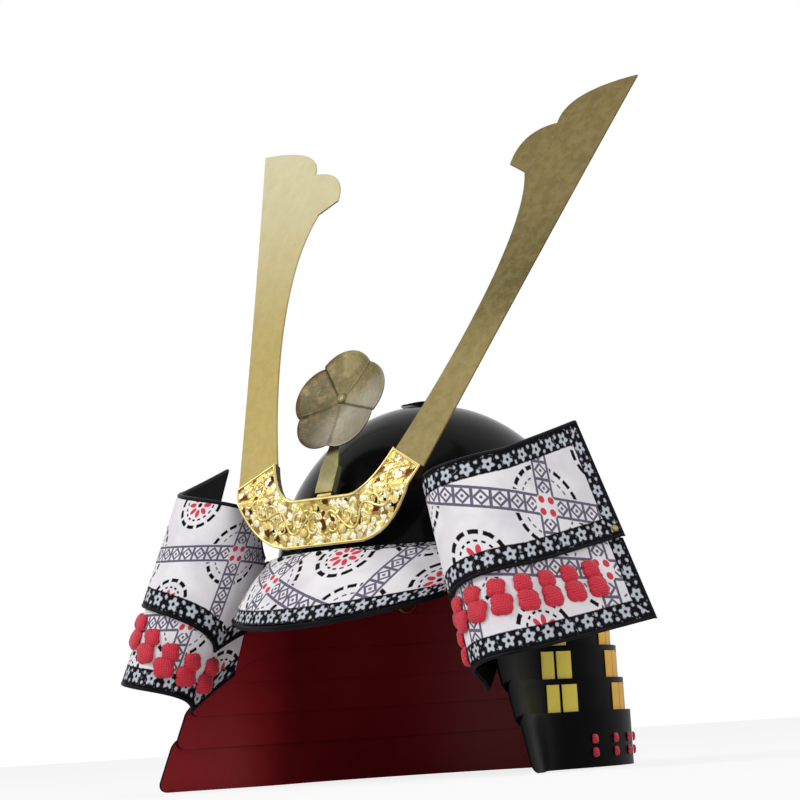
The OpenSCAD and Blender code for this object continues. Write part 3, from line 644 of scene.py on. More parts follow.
# %% Base band
BAND_INSIDE = 0.3
band_section = [(0.5, 0.3), (0.0, 0.9), (0.0, 1.5), (0.4, 1.7), (6, 1.7), (13, 1.7), (19.6, 1.7),
    (20, 1.4), (20, 0.6), (19.7, 0.3)]
band = round_shell(band_section, lambda a, place: dome_at(a, *place),
    lambda a, z: dome_at(a, z, BAND_INSIDE), steps(0.5, 19.7, 9))
new_piece("base band ring", "black_lacquer", band, black_lacquer, replaces="base_band")
print("band faces:", len(band[1]))

# %% [markdown]
# ## Visor
# The visor is a plate that leaves the band over the brow and curves forward and down. Its
# upper face carries the printed leather, with the stencil laid aslant, and its edge is rolled
# in black leather. One arc from root to edge is worked out for each turn round the brow.
# Plate, leather and roll all start from it, so they fit each other without being modelled
# twice.

# %% Visor plate, cover and edging
BROW_TURN, ROOT_TURN, VISOR_DEEP, VISOR_THICK, CAMBER = 67, 56, 71, 2, 10
EDGE_HALF, EDGE_BACK, EDGE_REACH, EDGE_LOW, EDGE_RISE, ARC_PER_DEGREE = 98, 66, 100, -31, 15, 1.87
brow = steps(-BROW_TURN, BROW_TURN, 72)


def visor_up(w):
    return Vector((0.62 * sin(w), -0.62 * cos(w), 0.78)).normalized()


def visor_point(turn, t, out):
    w = radians(turn)
    root = Vector(dome_at(turn * ROOT_TURN / BROW_TURN - 90, 19.5, 3.24))
    edge = Vector((EDGE_HALF * sin(w), -EDGE_BACK - EDGE_REACH * cos(w),
        EDGE_LOW + EDGE_RISE * (1 - cos(w)) / (1 - cos(radians(BROW_TURN)))))
    middle = (root + edge) / 2 + visor_up(w) * CAMBER * (1 - (turn / BROW_TURN) ** 2)
    return Vector(bez2(root, middle, edge, t)) + visor_up(w) * out


def visor_grid(rows, out):
    return [[tuple(visor_point(w, t, out)) for t in rows] for w in brow]


def turned_lattice(u, v, origin, degrees_round, size):
    c, s = cos(radians(degrees_round)), sin(radians(degrees_round))
    du, dv = (u - origin[0]) / size, (v - origin[1]) / size
    return (du * c + dv * s, dv * c - du * s, u)


def visor_rim(turn, out, o):
    ahead = (visor_point(turn, 1, 0) - visor_point(turn, 0.96, 0)).normalized()
    return tuple(visor_point(turn, 1, o) + ahead * out)


rows = steps(1, 0, 14)
new_piece("visor plate", "black_lacquer",
    shell(visor_grid(rows, 0), visor_grid(rows, -VISOR_THICK)),
    black_lacquer, maroon_lacquer, second=1, replaces="visor")
rows = steps(0.99, 0.03, 20)
lattice, border = [], []
for w in brow:
    for t in rows:
        u, v = w * ARC_PER_DEGREE, t * VISOR_DEEP
        lattice.append(turned_lattice(u, v, (-35.5, 35), 25.4, 1.1))
        from_root = (v - 1.5) * 2 + 40 * max(0, 1 - max(0, w) / 20)
        border.append((VISOR_DEEP - v, from_root, 99))
visor_skin = new_piece("visor leather", "printed_leather",
    shell(visor_grid(rows, 1.0), visor_grid(rows, 0.3)), printed_leather, replaces="visor_cover",
    measures={"lattice": lattice * 2, "border": border * 2}, bevel=0.2)
rings = [[visor_rim(w, 1.25 + 0.95 * cos(a), -0.5 - 1.9 * sin(a)) for a in turns(12)] for w in brow]
new_piece("visor rolled edge", "black_edging", swept(rings), black_edging, replaces="visor_edging")
print("visor pieces:", len(visor_skin.data.polygons), "leather faces")

# %% [markdown]
# ## Neck guard lames
# Six plates hang round the back. The first two turn forward beside the face and then back on
# themselves. A strip could be bent along a curve with a modifier, but then six strips would
# have to be kept apart by hand. One plan curve serves all, each plate a step further out: the
# oval of the rim, a side leg, a round bend and a flat wing. A station names a place on it, as
# a pair of the part (0 oval, 1 leg, 2 bend, 3 wing) and a number.

# %% Plan of the guard
LAME_STEP, LAME_THICK, LAME_DROP, LAME_LAP, FIRST_LOW = 3.5, 1.6, 22.4, 8.6, -18
RIM_A, RIM_B = HALF_WIDTH + 2, HALF_LENGTH + 2
BEND_R, LEG_TURN, WING_TURN = 36, -12, 340


def bend_at(z):
    return (132.3 - 0.355 * z, -102.8 + 0.19 * z)


def wing_at(z):
    return 80 - 0.183 * z


def polar(radius, angle):
    return (radius * cos(radians(angle)), radius * sin(radians(angle)))


def plan(station, z, out):
    kind, t = station
    cx, cy = bend_at(z)
    if kind == 0:
        return ((RIM_A + out) * cos(radians(t)), (RIM_B + out) * sin(radians(t)))
    if kind == 1:
        q = radians(LEG_TURN)
        start = ((RIM_A + out) * cos(q), (RIM_B + out) * sin(q))
        hx, hy = (RIM_A + out) * sin(q), -(RIM_B + out) * cos(q)
        size = hypot(hx, hy)
        end = (cx - BEND_R + out, cy)
        reach = 0.36 * hypot(end[0] - start[0], end[1] - start[1])
        return bez3(start, (start[0] + hx / size * reach, start[1] + hy / size * reach),
            (end[0], end[1] + reach), end, t)
    if kind == 2:
        px, py = polar(BEND_R - out, t)
        return (cx + px, cy + py)
    px, py = polar(BEND_R - out, WING_TURN)
    qx, qy = polar(wing_at(z) * t, WING_TURN - 270)
    return (cx + px + qx, cy + py + qy)


def spot(station, z, out, side=1):
    x, y = plan(station, z, out)
    return (side * x, y, z)


def share_of_bend(t):
    return max(0, (t - 180) / (WING_TURN - 180))


# Heights of the first two lames' edges at a station
def top_1(st):
    kind, t = st
    if kind == 1:
        return blend(12, 50, t ** 4)
    if kind == 2:
        return 50 + 22 * share_of_bend(t) ** 0.8
    return 12 if kind == 0 else 72 + 19 * t


def low_1(st):
    kind, t = st
    if kind == 1:
        return FIRST_LOW - 4 * t - 18 * t ** 3
    if kind == 2:
        bend = share_of_bend(t)
        return -22 + 20 * sqrt(bend) - 18 * (1 - bend) ** 2.2
    return FIRST_LOW if kind == 0 else -2 + 17 * t


def low_2(st):
    kind, t = st
    if kind == 1:
        return -40.4 - 40 * t ** 2.5
    if kind == 2:
        return -80.4 + 25 * sqrt(share_of_bend(t))
    return -40.4 if kind == 0 else -55.4 + 15 * t


def top_2(st):
    return low_1(st) + LAME_LAP


EDGES = {1: (low_1, top_1), 2: (low_2, top_2)}
FRONT = [(1, t) for t in steps(0.7, 1, 12)] + [(2, q) for q in steps(180, WING_TURN, 36)[1:]] \
    + [(3, t) for t in steps(0, 1, 10)[1:]]
ROUND = [(0, q) for q in steps(90, LEG_TURN, 44)]
TURNED = ROUND + [(1, t) for t in steps(0, 0.7, 14)[1:-1]] + FRONT
print("stations on one side:", len(TURNED))

# %% [markdown]
# The lames are lacquered black outside and maroon inside. Each plate runs from the right end
# round the back to the left end as one shell, so nothing shows a seam, and two materials on
# one mesh keep the colours on their own sides. The four lower lames end in rounded corners.

# %% Lames
LEG_END, LEG_SPAN, CORNER = 0.94, 92, 8


def plain_low(level):
    return FIRST_LOW - (level - 1) * LAME_DROP - (7 if level == 6 else 0)


def plain_top(level):
    return FIRST_LOW - (level - 2) * LAME_DROP + LAME_LAP


def lame(name, body, level, half):
    """A plate from the right end to the left; `half` has a station and its heights per row."""
    run = [(s, heights, -1) for s, heights in reversed(half[1:])] \
        + [(s, heights, 1) for s, heights in half]
    o = (level - 1) * LAME_STEP
    outer, inner = [[[spot(s, z, out, side) for z in heights] for s, heights, side in run]
        for out in (o, o + LAME_THICK)]
    new_piece(name, "black_lacquer", shell(outer, inner), worn_lacquer, maroon_lacquer, body=body,
        second=0, replaces="neck_lame_%d" % level, bevel=0.3)


for level, name in ((1, "first lame"), (2, "second lame")):
    low, top = EDGES[level]
    lame(name, "helmet", level, [(s, steps(low(s), top(s), 10)) for s in TURNED])
begin = LEG_END - CORNER / LEG_SPAN
ends = [(s, 0) for s in ROUND] + [((1, t), 0) for t in steps(0, begin, 18)[1:]]
for q in (12, 24, 36, 48, 60, 72, 82, 87):
    t = LEG_END - CORNER * (1 - sin(radians(q))) / LEG_SPAN
    ends.append(((1, t), CORNER * (1 - cos(radians(q)))))
for level in (3, 4, 5, 6):
    low, top = plain_low(level), plain_top(level)
    lame("lame %d" % level, "guard_%d" % level, level,
        [(s, steps(low + cut, top - cut, 6)) for s, cut in ends])
print("plain lames from", round(plain_top(3), 1), "down to", plain_low(6))

# %% [markdown]
# ## Leather on the turnbacks
# Printed leather covers the side of each turnback that faces forward. It is glued down flat,
# so it is a thin sheet a hair above the plate. Its pattern could be laid on with a UV map, but
# measures that follow the sheet round the bend and up it keep the print's real size. Each
# sheet was cut at its own place, angle and size of stencil, and one has a border on its upper
# edge.

# %% Turnback covers
NO_BORDER, INSET, GLUE, LEATHER_THICK, SHEET_LONG = 99, 0.3, 0.3, 0.7, 185


def along_guard(st):
    kind, t = st
    if kind == 1:
        return -(1 - t) * LEG_SPAN
    if kind == 2:
        return radians(t - 180) * 37
    return 103 + 82 * t


def cover(level, side, origin, turn, size):
    low, top = EDGES[level]
    o = (level - 1) * LAME_STEP - GLUE
    under, over, lattice, border = [], [], [], []
    for st in FRONT if side > 0 else reversed(FRONT):
        lo, hi, u = low(st) + INSET, top(st) - INSET, along_guard(st)
        heights = steps(lo, hi, 12)
        under.append([spot(st, z, o - LEATHER_THICK, side) for z in heights])
        over.append([spot(st, z, o, side) for z in heights])
        for z in heights:
            lattice.append(turned_lattice(u, z, origin, turn, size))
            from_top = hi - z if level == 1 and side > 0 else NO_BORDER
            border.append((z - lo, from_top, SHEET_LONG - u))
    which, hand = ("upper", "lower")[level - 1], HANDS[side]
    new_piece("%s turnback leather %s" % (which, hand), "printed_leather", shell(under, over),
        wide_printed_leather, measures={"lattice": lattice * 2, "border": border * 2},
        replaces="%s_cover_%s" % (which, hand), bevel=0.2)


cover(1, 1, (129, 34), -8.7, 1.0)
cover(1, -1, (10, 25), 3, 0.76)
cover(2, 1, (160, -9), -4, 1.0)
cover(2, -1, (30, -20), 2, 0.85)
print("four covers")

# %% [markdown]
# A roll of black leather holds the raw edge of plate and cover together. A bevelled curve
# would twist where the edge turns up at the wing's end, so a round section is carried from
# station to station instead.

# %% Rolled edges of the turnbacks
ROLL_MIDDLE, ROLL_REACH, ROLL_OUT, ROLL_HALF = 0.9, 1.4, 0.25, 1.65


def turnback_roll(level, side):
    low, top = EDGES[level]
    tail = (3, 1)
    o = (level - 1) * LAME_STEP + ROLL_OUT

    def path(out):
        past = (3, 1 + out / 80)
        start = [(s, top(s) + out) for s in FRONT] + [(past, top(tail) + out)]
        high = top(tail) if level == 1 else low_1(tail) - 2.9
        end = [(past, z) for z in steps(high, low(tail), 8) + [low(tail) - out]]
        return (start if level == 1 else []) + end + [(s, low(s) - out) for s in reversed(FRONT)]

    section = turns(10)
    tracks = [path(ROLL_MIDDLE + ROLL_REACH * cos(a)) for a in section]
    rings = [[spot(*place, o + ROLL_HALF * sin(a), side) for a, place in zip(section, places)]
        for places in zip(*tracks)]
    which, hand = ("upper", "lower")[level - 1], HANDS[side]
    new_piece("%s turnback roll %s" % (which, hand), "black_edging",
        swept(rings if side < 0 else [r[::-1] for r in rings]), black_edging,
        replaces="%s_edging_%s" % (which, hand), angle=60)


for level in EDGES:
    for side in HANDS:
        turnback_roll(level, side)
print("four rolls")

# %% [markdown]
# ## Lacing
# Pairs of flat silk braids hold the lames. On each lame a strip lies on the outer face and
# sinks at both ends where it dives into its holes. A rounded ribbon for each strip shows that,
# and the cords inside the guard, which nobody sees, are left out.

# %% Flat braids
COLUMNS, FRONT_COLUMN, LEG_START = (90, 56, 22), -5, 0.008
CORD_WIDE, CORD_GAP, CORD_THICK, CORD_DIP, HOLE_IN = 13, 1.6, 0.9, 1.6, 4
cord_turn, half_gap = degrees(CORD_WIDE / RIM_B), degrees(CORD_GAP / RIM_B) / 2
runs = []
for side in (-1, 1):
    for q in COLUMNS:
        runs.append((side, 0, q - half_gap, q - half_gap - cord_turn))
        if q < 90:
            runs.append((side, 0, q + half_gap + cord_turn, q + half_gap))
    runs.append((side, 0, FRONT_COLUMN, FRONT_COLUMN - cord_turn))
    runs.append((side, 1, LEG_START, LEG_START + CORD_WIDE / LEG_SPAN))


def cords_on(level):
    o = (level - 1) * LAME_STEP + LAME_THICK + 0.4
    top = (6 if level == 1 else plain_top(level)) - HOLE_IN
    low = plain_low(level) + HOLE_IN
    strips, weave = [], []
    for side, kind, start, stop in runs:
        over, under, places = [], [], []
        for share in steps(0, 1, 10):
            st = (kind, blend(start, stop, share))
            crown = sqrt(max(0, 1 - (2 * share - 1) ** 4))
            over.append([])
            under.append([])
            for z in steps(low, top, 16):
                dip = 1 - (1 - min(1, min(z - low, top - z) / CORD_DIP)) ** 2
                over[-1].append(spot(st, z, o + CORD_THICK * (0.25 + 0.75 * crown * dip), side))
                under[-1].append(spot(st, z, o, side))
                places.append(((share - 0.5) * CORD_WIDE, z, 0))
        strips.append(shell(over, under))
        weave += places * 2
    new_piece("silk lacing %d" % level, "yellow_silk", gather(strips), yellow_silk,
        body="helmet" if level <= 2 else "guard_%d" % level, measures={"weave": weave},
        replaces="lacing_%d" % level, angle=60)


for level in (1, 2, 3, 4, 5):
    cords_on(level)
print("five rows of lacing")

# %% [markdown]
# ## Cross knots
# Thick crimson cord is drawn through the plate in short crossed stitches. Each knot is two fat
# lobes, one over the other, pinched where they go into the leather. A whole knot could be tied
# from a curve, but only the two lobes show, and on a swept lobe the braid follows the cord. On
# the wearer's left the last column has three knots at the bend. On the right the rows hang
# lower there and go on round it.

# %% Knots
KNOT_PITCH, KNOT_SIZE, KNOT_HIGH, SMALL_SIZE, SMALL_HIGH, SMALL_ROW = 19, 17.5, 4.6, 7.6, 2.0, 9
# A knot's place in its column: how far in, how far below the first lame's edge, and its size
THREE = ((33, 12, 0.8), (33, 24, 0.9), (33, 36, 0.9))
# How much lower the columns at the bend hang on the wearer's right
HANG = {5: 7, 6: 12.5, 7: 12, 8: 5}


def normal_at(station, z, out, side):
    kind, t = station
    nudge = 1 if kind in (0, 2) else 0.01

    def at(along=0, up=0, inside=0):
        return Vector(spot((kind, t + along), z + up, out - inside, side))
    n = (at(nudge) - at(-nudge)).cross(at(up=1) - at(up=-1)).normalized()
    return n if n.dot(at(inside=1) - at()) > 0 else -n


def lobe(centre, along, across, away, half_long, half_wide, high, lift):
    rings, weave = [], []
    for s in steps(-1, 1, 14):
        bulge = sqrt(max(0, 1 - abs(s) ** 3))
        waist = 0.93 + 0.07 * cos(s * pi)
        rings.append([])
        for a in turns(12):
            w, h = half_wide * bulge * cos(a), high * bulge * max(0, sin(a)) ** 0.8
            rings[-1].append(tuple(centre + along * (s * half_long) + across * (w * waist)
                + away * (h + lift * bulge)))
            weave.append((cos(a) * half_wide, s * half_long, 0))
    return (*swept(rings, capped=False), weave)


def knots(name, places, replaces, body="helmet"):
    lobes = []
    for centre, away, size, high in places:
        level_way = Vector((0, 0, 1)).cross(away).normalized()
        upward = away.cross(level_way).normalized()
        for turn, tall, lift in ((45, 0.78, 0.0), (-45, 0.74, 0.22 * high)):
            along = (level_way * cos(radians(turn)) + upward * sin(radians(turn))).normalized()
            across = away.cross(along).normalized()
            lobes.append(lobe(Vector(centre), along, across, away, size * 0.5, size * 0.34,
                high * tall, lift))
    new_piece(name, "crimson_silk", gather(lobes), crimson_silk, body=body, replaces=replaces,
        measures={"weave": [v for form in lobes for v in form[2]]}, angle=80)
    return len(places)


def knot_station(d):
    """The station d millimetres in from the wing's end."""
    long = wing_at(-30)
    if d < long:
        return (3, 1 - d / long)
    turned = WING_TURN - degrees((d - long) / BEND_R)
    return (2, turned) if turned > 180 else (1, 1 - radians(180 - turned) * BEND_R / LEG_SPAN)


placed = 0
for side, hand in HANDS.items():
    places = []
    for i in range(8 if side > 0 else 9):
        fall = 1 - i / 2.5
        column = ((37, 14 + 2.5 * fall, 0.84), (35.5, 25.5 + 3 * fall, 1.0))
        for start, drop, scale in THREE if side > 0 and i == 7 else column:
            st = knot_station(start + i * KNOT_PITCH)
            z = low_1(st) - drop - (HANG.get(i, 0) if side < 0 else 0)
            o = LAME_STEP - GLUE - 1
            places.append((spot(st, z, o, side), normal_at(st, z, o, side), KNOT_SIZE * scale,
                KNOT_HIGH))
    placed += knots("cross knots " + hand, places, "turnback_knots_" + hand)
places = []
for side in HANDS:
    for q in range(84, -1, -12):
        away = Vector((side * cos(radians(q)), sin(radians(q)), 0))
        for row in (0, 1):
            place = spot((0, q), plain_low(6) + 10 + SMALL_ROW * row,
                5 * LAME_STEP + LAME_THICK + 0.3, side)
            places.append((place, away, SMALL_SIZE, SMALL_HIGH))
placed += knots("small cross knots", places, "bottom_knots", "guard_6")
print("knots placed:", placed)

# %% [markdown]
# ## Horns
# Each horn is one flat brass blade whose head is cut into two lobes. The outline is five
# joined curves and the tang that slips into the holder. A flat plate with a small rounded edge
# shows the metal best, and nothing is gained by a thicker form.

# %% Horn plates
HOLDER_Y, HOLDER_Z, BEND_LINE, LEAN, SPLAY = 117, 22.5, 35, radians(30), radians(25)
ARM_OUT, ARM_IN, ARM_MID, TIP = (81, 48), (52, 66), (66.5, 57), (171, 359)
HORN_FRONT, HORN_BACK, TANG_HALF, TANG_DEEP = 2.3, 3.9, 11, -24.7


def on_lean(x, y, depth):
    back = HOLDER_Y + 2 - (y - BEND_LINE) * sin(LEAN) - depth * cos(LEAN)
    return (x, -back, HOLDER_Z + BEND_LINE + (y - BEND_LINE) * cos(LEAN) - depth * sin(LEAN))


def in_socket(x, y):
    return (ARM_MID[0] + x * cos(SPLAY) + y * sin(SPLAY),
        ARM_MID[1] - x * sin(SPLAY) + y * cos(SPLAY))


def off(p, dx, dy):
    return (p[0] + dx, p[1] + dy)


def horn_outline():
    rise = (sin(SPLAY) * 0.4, cos(SPLAY) * 0.4)
    foot_out, foot_in = off(ARM_OUT, *rise), off(ARM_IN, *rise)
    neck, notch = off(TIP, -77, -69), off(TIP, -60.06, -28.98)
    spur = off(neck, -15.5, 10)
    line = [bez3(foot_out, off(blend(foot_out, TIP, 0.27), 1, 6),
        off(blend(foot_out, TIP, 0.68), -2, -1), TIP, t) for t in steps(0, 1, 48)]
    for start, middle, end, count in ((TIP, off(TIP, -59.3, -2), notch, 24),
            (notch, (spur[0] + 1.5, notch[1] - 1), spur, 24), (spur, off(neck, -3, 2), neck, 10)):
        line += [bez2(start, middle, end, t) for t in steps(0, 1, count)[1:]]
    line += [bez3(neck, off(neck, 18, -51), off(blend(foot_in, neck, 0.31), 15, -1), foot_in, t)
        for t in steps(0, 1, 40)[1:]]
    return line + [in_socket(-TANG_HALF, 1.7), in_socket(-TANG_HALF, TANG_DEEP),
        in_socket(TANG_HALF, TANG_DEEP), in_socket(TANG_HALF, -0.9)]


def plate(outline, place, front, back):
    """A flat plate cut to an outline, front and back faces and the edge between them."""
    n = len(outline)
    points = [place(x, y, depth) for depth in (front, back) for x, y in outline]
    faces = [tuple(range(n)), tuple(reversed(range(n, 2 * n)))]
    return points, faces + [(i, n + i, n + (i + 1) % n, (i + 1) % n) for i in range(n)]


for side, hand in HANDS.items():
    outline = [(side * x, y) for x, y in horn_outline()][::-side]
    new_piece("horn " + hand, "brass_plate", plate(outline, on_lean, HORN_FRONT, HORN_BACK),
        horn_brass, body="horn_%s_body" % hand, replaces="horn_" + hand, angle=30, bevel=0.35)
print("horns rise to", round(on_lean(*TIP, 0)[2]), "mm")

# %% [markdown]
# ## Horn holder
# The holder keeps its own plate, with its two sockets. On its face a raised rim follows the
# outline, and a vine of scrolls and leaves stands over the chased ground. A bump could fake
# such relief, but it would be flat when seen from the side. The relief is round wires, half
# sunk into the plate, because a chased line has just that section.

# %% Holder outline and relief
def on_face(x, y, out):
    """A point on the holder's face, which bends back above the bend line."""
    if y <= BEND_LINE:
        return (x, -HOLDER_Y - 2 - out, HOLDER_Z + y)
    return on_lean(x, y, -out)


def even(line, count):
    """The same line with evenly spaced points."""
    marks = [0]
    for a, b in zip(line, line[1:]):
        marks.append(marks[-1] + hypot(b[0] - a[0], b[1] - a[1]))
    found = []
    for want in steps(0, marks[-1], count):
        k = max(j for j in range(len(line) - 1) if marks[j] <= want + 1e-9)
        found.append(blend(line[k], line[k + 1], (want - marks[k]) / (marks[k + 1] - marks[k])))
    return found


PARTS = 80
lower_line = [(x, 0) for x in steps(0, 34, 10)] \
    + [bez2((34, 0), (66, 4), ARM_OUT, t) for t in steps(0, 1, 30)[1:]]
upper_line = [(x, 33) for x in steps(0, 24, 8)] \
    + [bez2((24, 33), (40, 34), ARM_IN, t) for t in steps(0, 1, 24)[1:]]
lower_even, upper_even = even(lower_line, PARTS), even(upper_line, PARTS)


def on_band(s, r):
    """A flat point of the holder: s runs from the middle to an arm's end, r across it."""
    place = min(1, max(0, s)) * PARTS
    i = min(PARTS - 1, int(place))
    return blend(blend(lower_even[i], lower_even[i + 1], place - i),
        blend(upper_even[i], upper_even[i + 1], place - i), r)


def wire(path, radii, place, sunk=0.2, ring=8):
    """A round relief line over a face."""
    rings = []
    for i, (x, y) in enumerate(path):
        a, b = path[max(0, i - 1)], path[min(len(path) - 1, i + 1)]
        dx, dy = b[0] - a[0], b[1] - a[1]
        size = hypot(dx, dy) or 1
        rings.append([place(x - dy / size * radii[i] * cos(t), y + dx / size * radii[i] * cos(t),
            radii[i] * (sin(t) - sunk + 0.35)) for t in turns(ring)])
    return swept(rings, flipped=True)


def spiral(centre, radius, start, around, hand=1, count=28):
    line = []
    for t in steps(0, 1, count):
        a, r = start + hand * around * 2 * pi * t, radius * (1 - 0.88 * t ** 0.8)
        line.append((centre[0] + r * cos(a), centre[1] + r * sin(a)))
    return line


def leaf(x, y, direction, size):
    """A pointed leaf as a low ridge: its line and its radii."""
    c, s = cos(direction), sin(direction)
    return [(x + c * size * t, y + s * size * t) for t in steps(0, 1, 8)], \
        [0.25 + size * 0.17 * sin(pi * min(1, t * 0.95 + 0.05)) for t in steps(0, 1, 8)]


RIM_WIRE, STALK_WIRE, SCROLLS, LEAF_OUT = 0.8, 0.95, 6, 0.9
relief = []
for mirror in HANDS:
    def flat(x, y, out, m=mirror):
        return on_face(m * x, y, out)
    rims = [[blend(p, q, share) for p, q in zip(lower_even, upper_even)]
        for share in (0.035, 0.965)]
    for line in rims + [[on_band(0.985, r) for r in steps(0.03, 0.97, 16)]]:
        relief.append(wire(line, [RIM_WIRE] * len(line), flat, 0.1))
    stalk = [on_band(s, 0.5 + 0.2 * sin(s * 5.5 * pi)) for s in steps(0.02, 0.94, 90)]
    relief.append(wire(stalk, [STALK_WIRE] * len(stalk), flat))
    for k in range(SCROLLS):
        s, way, size = 0.09 + k * 0.155, 1 if k % 2 == 0 else -1, 6.6 - 0.35 * k
        centre = on_band(s, 0.5 - 0.1 * way)
        ahead, here = on_band(min(1, s + 0.02), 0.5), on_band(s, 0.5)
        angle = atan2(ahead[1] - here[1], ahead[0] - here[0])
        curl = spiral(centre, size, angle + pi / 2 * way, 1.35, -way)
        relief.append(wire(curl, [0.9 - 0.45 * i / 28 for i in range(29)], flat))
        relief.append(wire(spiral(centre, 1.5, 0, 1, count=8), [0.9] * 9, flat, ring=6))
        for turn, reach in ((0.9, 6), (-0.9, 6), (2.3, 4.6), (-2.3, 4.6)):
            root = off(centre, *(size * LEAF_OUT * f(angle + turn) for f in (cos, sin)))
            relief.append(wire(*leaf(*root, angle + turn * 1.25, reach), flat, ring=6))
new_piece("holder relief", "gilt", gather(relief), gilt, angle=60)
print("relief lines on the holder:", len(relief))

# %% Holder ground
GROUND_UP = 0.06
halves = []
for mirror in HANDS:
    grid = [[on_band(s, r) for r in steps(0.04, 0.96, 8)] for s in steps(0, 0.985, 60)]
    corners = [i * 9 + j for i in range(60) for j in range(8)]
    halves.append(([on_face(mirror * x, y, GROUND_UP) for row in grid for x, y in row],
        [(k, k + 9, k + 10, k + 1)[::mirror] for k in corners]))
ground = gather(halves)
new_piece("holder chased ground", "gilt", ground, ground_gilt, angle=80)
print("ground faces:", len(ground[1]))

# %% [markdown]
# ## Flower crest
# The crest is a flower of beaten metal on a flat stem. Five broad petals make one shallow
# dish: each rises a little from one side to the other, so that it lies over its neighbour
# along a dark parting. Five loose petals would have to be fitted to each other, so the dish is
# one grid round its middle. The distances from the parting and from the rim are stored on the
# mesh; they place painted shade in the partings and a brown band along the rim.

# %% Petals
CREST_LEAN, FLOWER_UP, FLOWER_OUT, FIFTH = radians(25), 70, 4.2, 2 * pi / 5
PETAL_RADIUS, PETAL_RING, PETAL_THICK, DISH, STEP = 23.4, 15.6, 1.1, 3.4, 0.75
# How dark the painted shade in each parting is, beginning on the left of the top petal
PARTING_SHADE = (1, 0.5, 0.35, 1, 0.3)


def on_crest(x, y, z):
    c, s = cos(CREST_LEAN), sin(CREST_LEAN)
    return (x, -116.7 + y * s - z * c, 55.5 + y * c + z * s)


def flower(rows=22, around=200):
    """Five petals in one dish: the outline is that of five discs set round the middle."""
    front, back, petal = [], [], []
    for turn in turns(around):
        a = pi / 2 + turn
        off_middle = (turn + FIFTH / 2) % FIFTH - FIFTH / 2
        lap = off_middle / (FIFTH / 2)
        rim = PETAL_RING * cos(off_middle) \
            + sqrt(PETAL_RADIUS ** 2 - (PETAL_RING * sin(off_middle)) ** 2)
        front.append([])
        back.append([])
        for share in steps(0, 1, rows):
            out = rim * share ** 0.85
            whole = out / (PETAL_RADIUS + PETAL_RING)
            parting = out * sin(FIFTH / 2 - abs(off_middle))
            cup = 0.5 * lap * lap * whole - 0.3 * max(0, 1 - parting / 1.4) * whole
            lip = 0.22 * max(0, 1 - ((rim - out - 1.2) / 1.3) ** 2)
            height = FLOWER_OUT + DISH * whole ** 2.2 + STEP * lap * whole + cup
            x, y = out * cos(a), FLOWER_UP + out * sin(a)
            front[-1].append(on_crest(x, y, height + PETAL_THICK + lip))
            back[-1].append(on_crest(x, y, height))
            petal.append((parting, rim - out, PARTING_SHADE[int(turn / FIFTH % 5)]))
    return shell(front, back, True), petal * 2


def flower_metal():
    """Olive brass, a painted grey reflection below, painted shade on the right and in partings."""
    made = Finish("flower brass")
    x, _, z = made.split(made.place())
    parting, rim, dark = made.drawn("petal")
    cloudy = made.noise(70, 5, 0.65).soft(0.32, 0.68)
    blotch = made.noise(130, 4, 0.7)
    # Painted shade: a mask that darkens the petals toward the wearer's right.
    shaded_right = x.soft(0.002, -0.022)
    # Coats: a painted grey reflection on the lower part, painted shade on the right, random cloud
    # and blotches, painted shade in the partings, and a brown band along the rim on the shaded
    # side.
    tone = made.coats((96, 89, 60), ((z * 0.8 - x * 0.45).soft(0.102, 0.084), (142, 137, 120)),
        (shaded_right * 0.85, (70, 66, 49)), (cloudy * 0.35, (80, 70, 46)),
        (blotch.soft(0.42, 0.72) * 0.3, (150, 124, 98)),
        ((1 - (parting + blotch * 1.2).soft(0.7, 2.6)) * dark * 0.75, (52, 46, 30)),
        ((1 - (rim + blotch * 6).soft(3.5, 6.5)) * shaded_right * 0.85, (66, 38, 24)))
    return made.set(Base_Color=tone, Metallic=1.0, Roughness=0.4 + cloudy * 0.12,
        Normal=made.bump(cloudy, 0.0005, 0.3))


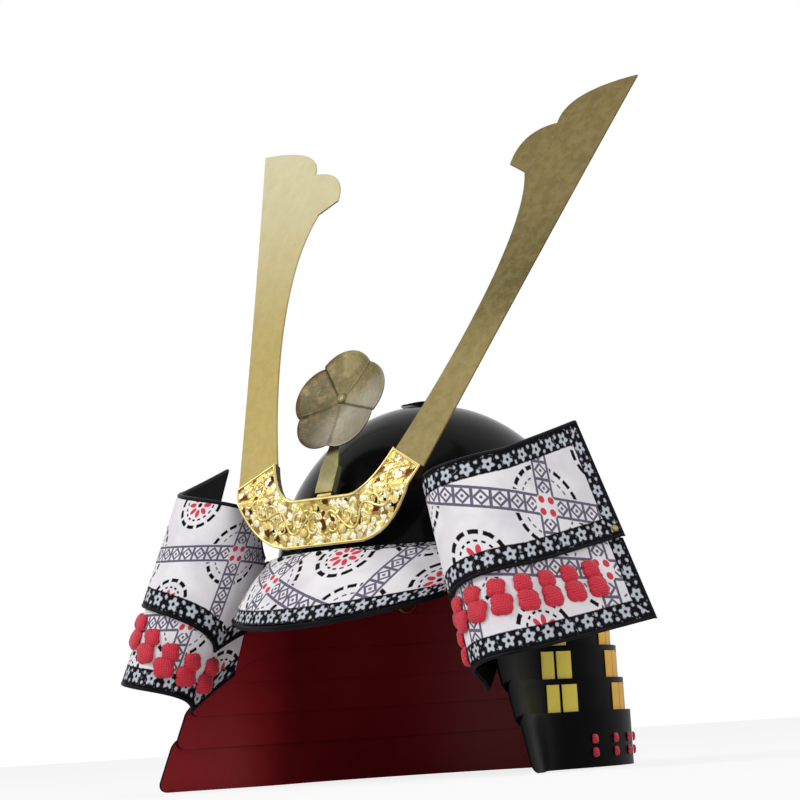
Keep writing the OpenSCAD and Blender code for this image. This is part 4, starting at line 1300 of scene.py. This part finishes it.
petals, petal = flower()
new_piece("flower petals", "tarnished_brass", petals, flower_metal(), body="crest",
    measures={"petal": petal}, replaces="crest_flower", angle=60)
print("petal faces:", len(petals[1]))

# %% [markdown]
# ## Lining
# A quilted hemp cap hangs inside the bowl from a leather band. Its stuffing swells between
# rings and spokes of stitches. A cloth simulation could swell it, but a product of two waves
# that are zero on each row of stitches gives the same cushions and never changes.

# %% Quilted lining
RING_APART, SPOKES = 11.5, 6


def lining_out(e):
    """How far inside the bowl the cap hangs, a little further above the band."""
    return -4.2 - 1.8 * min(1, max(0, e - 8) / 4)


def puff(a, e):
    return sqrt(abs(sin(radians(a * SPOKES)) * sin(radians((e - 1.5) * 180 / RING_APART))))


lining = new_piece("quilted lining", "hemp_lining", round_shell(steps(1.5, 82, 70),
    lambda a, e: dome(a, e, lining_out(e) - 0.6 + 0.5 * puff(a, e)),
    lambda a, e: dome(a, e, lining_out(e) - 1.2 - puff(a, e))),
    hemp, replaces="head_lining", angle=80)
new_piece("lining strap", "strap_leather", round_shell(steps(1, 15, 6),
    lambda a, z: dome_at(a, z, -2.3),
    lambda a, z: dome_at(a, z, -3.9 + 0.3 * ((z - 8) / 7) ** 4)),
    strap_leather, replaces="lining_band", bevel=0.3)
print("lining faces:", len(lining.data.polygons))

# %% [markdown]
# ## Small metal pieces
# The model already holds the rivets, studs, rings, staples, the apex fitting, the holder and
# the crest's prong and stem exactly, so they only need their metal or lacquer.

# %% Finishes of the carried-over pieces
KEPT = {
    black_lacquer: ["rim_rivets", "visor_rivets", "apex_seat", "apex_collar"],
    front_gilt: ["horn_holder"],
    gilt: ["holder_rivets"],
    ring_brass: ["turnback_studs", "pennant_staple", "pennant_ring", "tie_staples",
        "tie_ring_front_left", "tie_ring_front_right", "tie_ring_back_left", "tie_ring_back_right",
        "crest_prong"],
    olive_brass: ["crest_stem", "crest_rivet"]}
for finish, names in KEPT.items():
    for name in names:
        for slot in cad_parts[name].material_slots:
            slot.material = finish.material
print("kept nodes:", sum(len(v) for v in KEPT.values()))
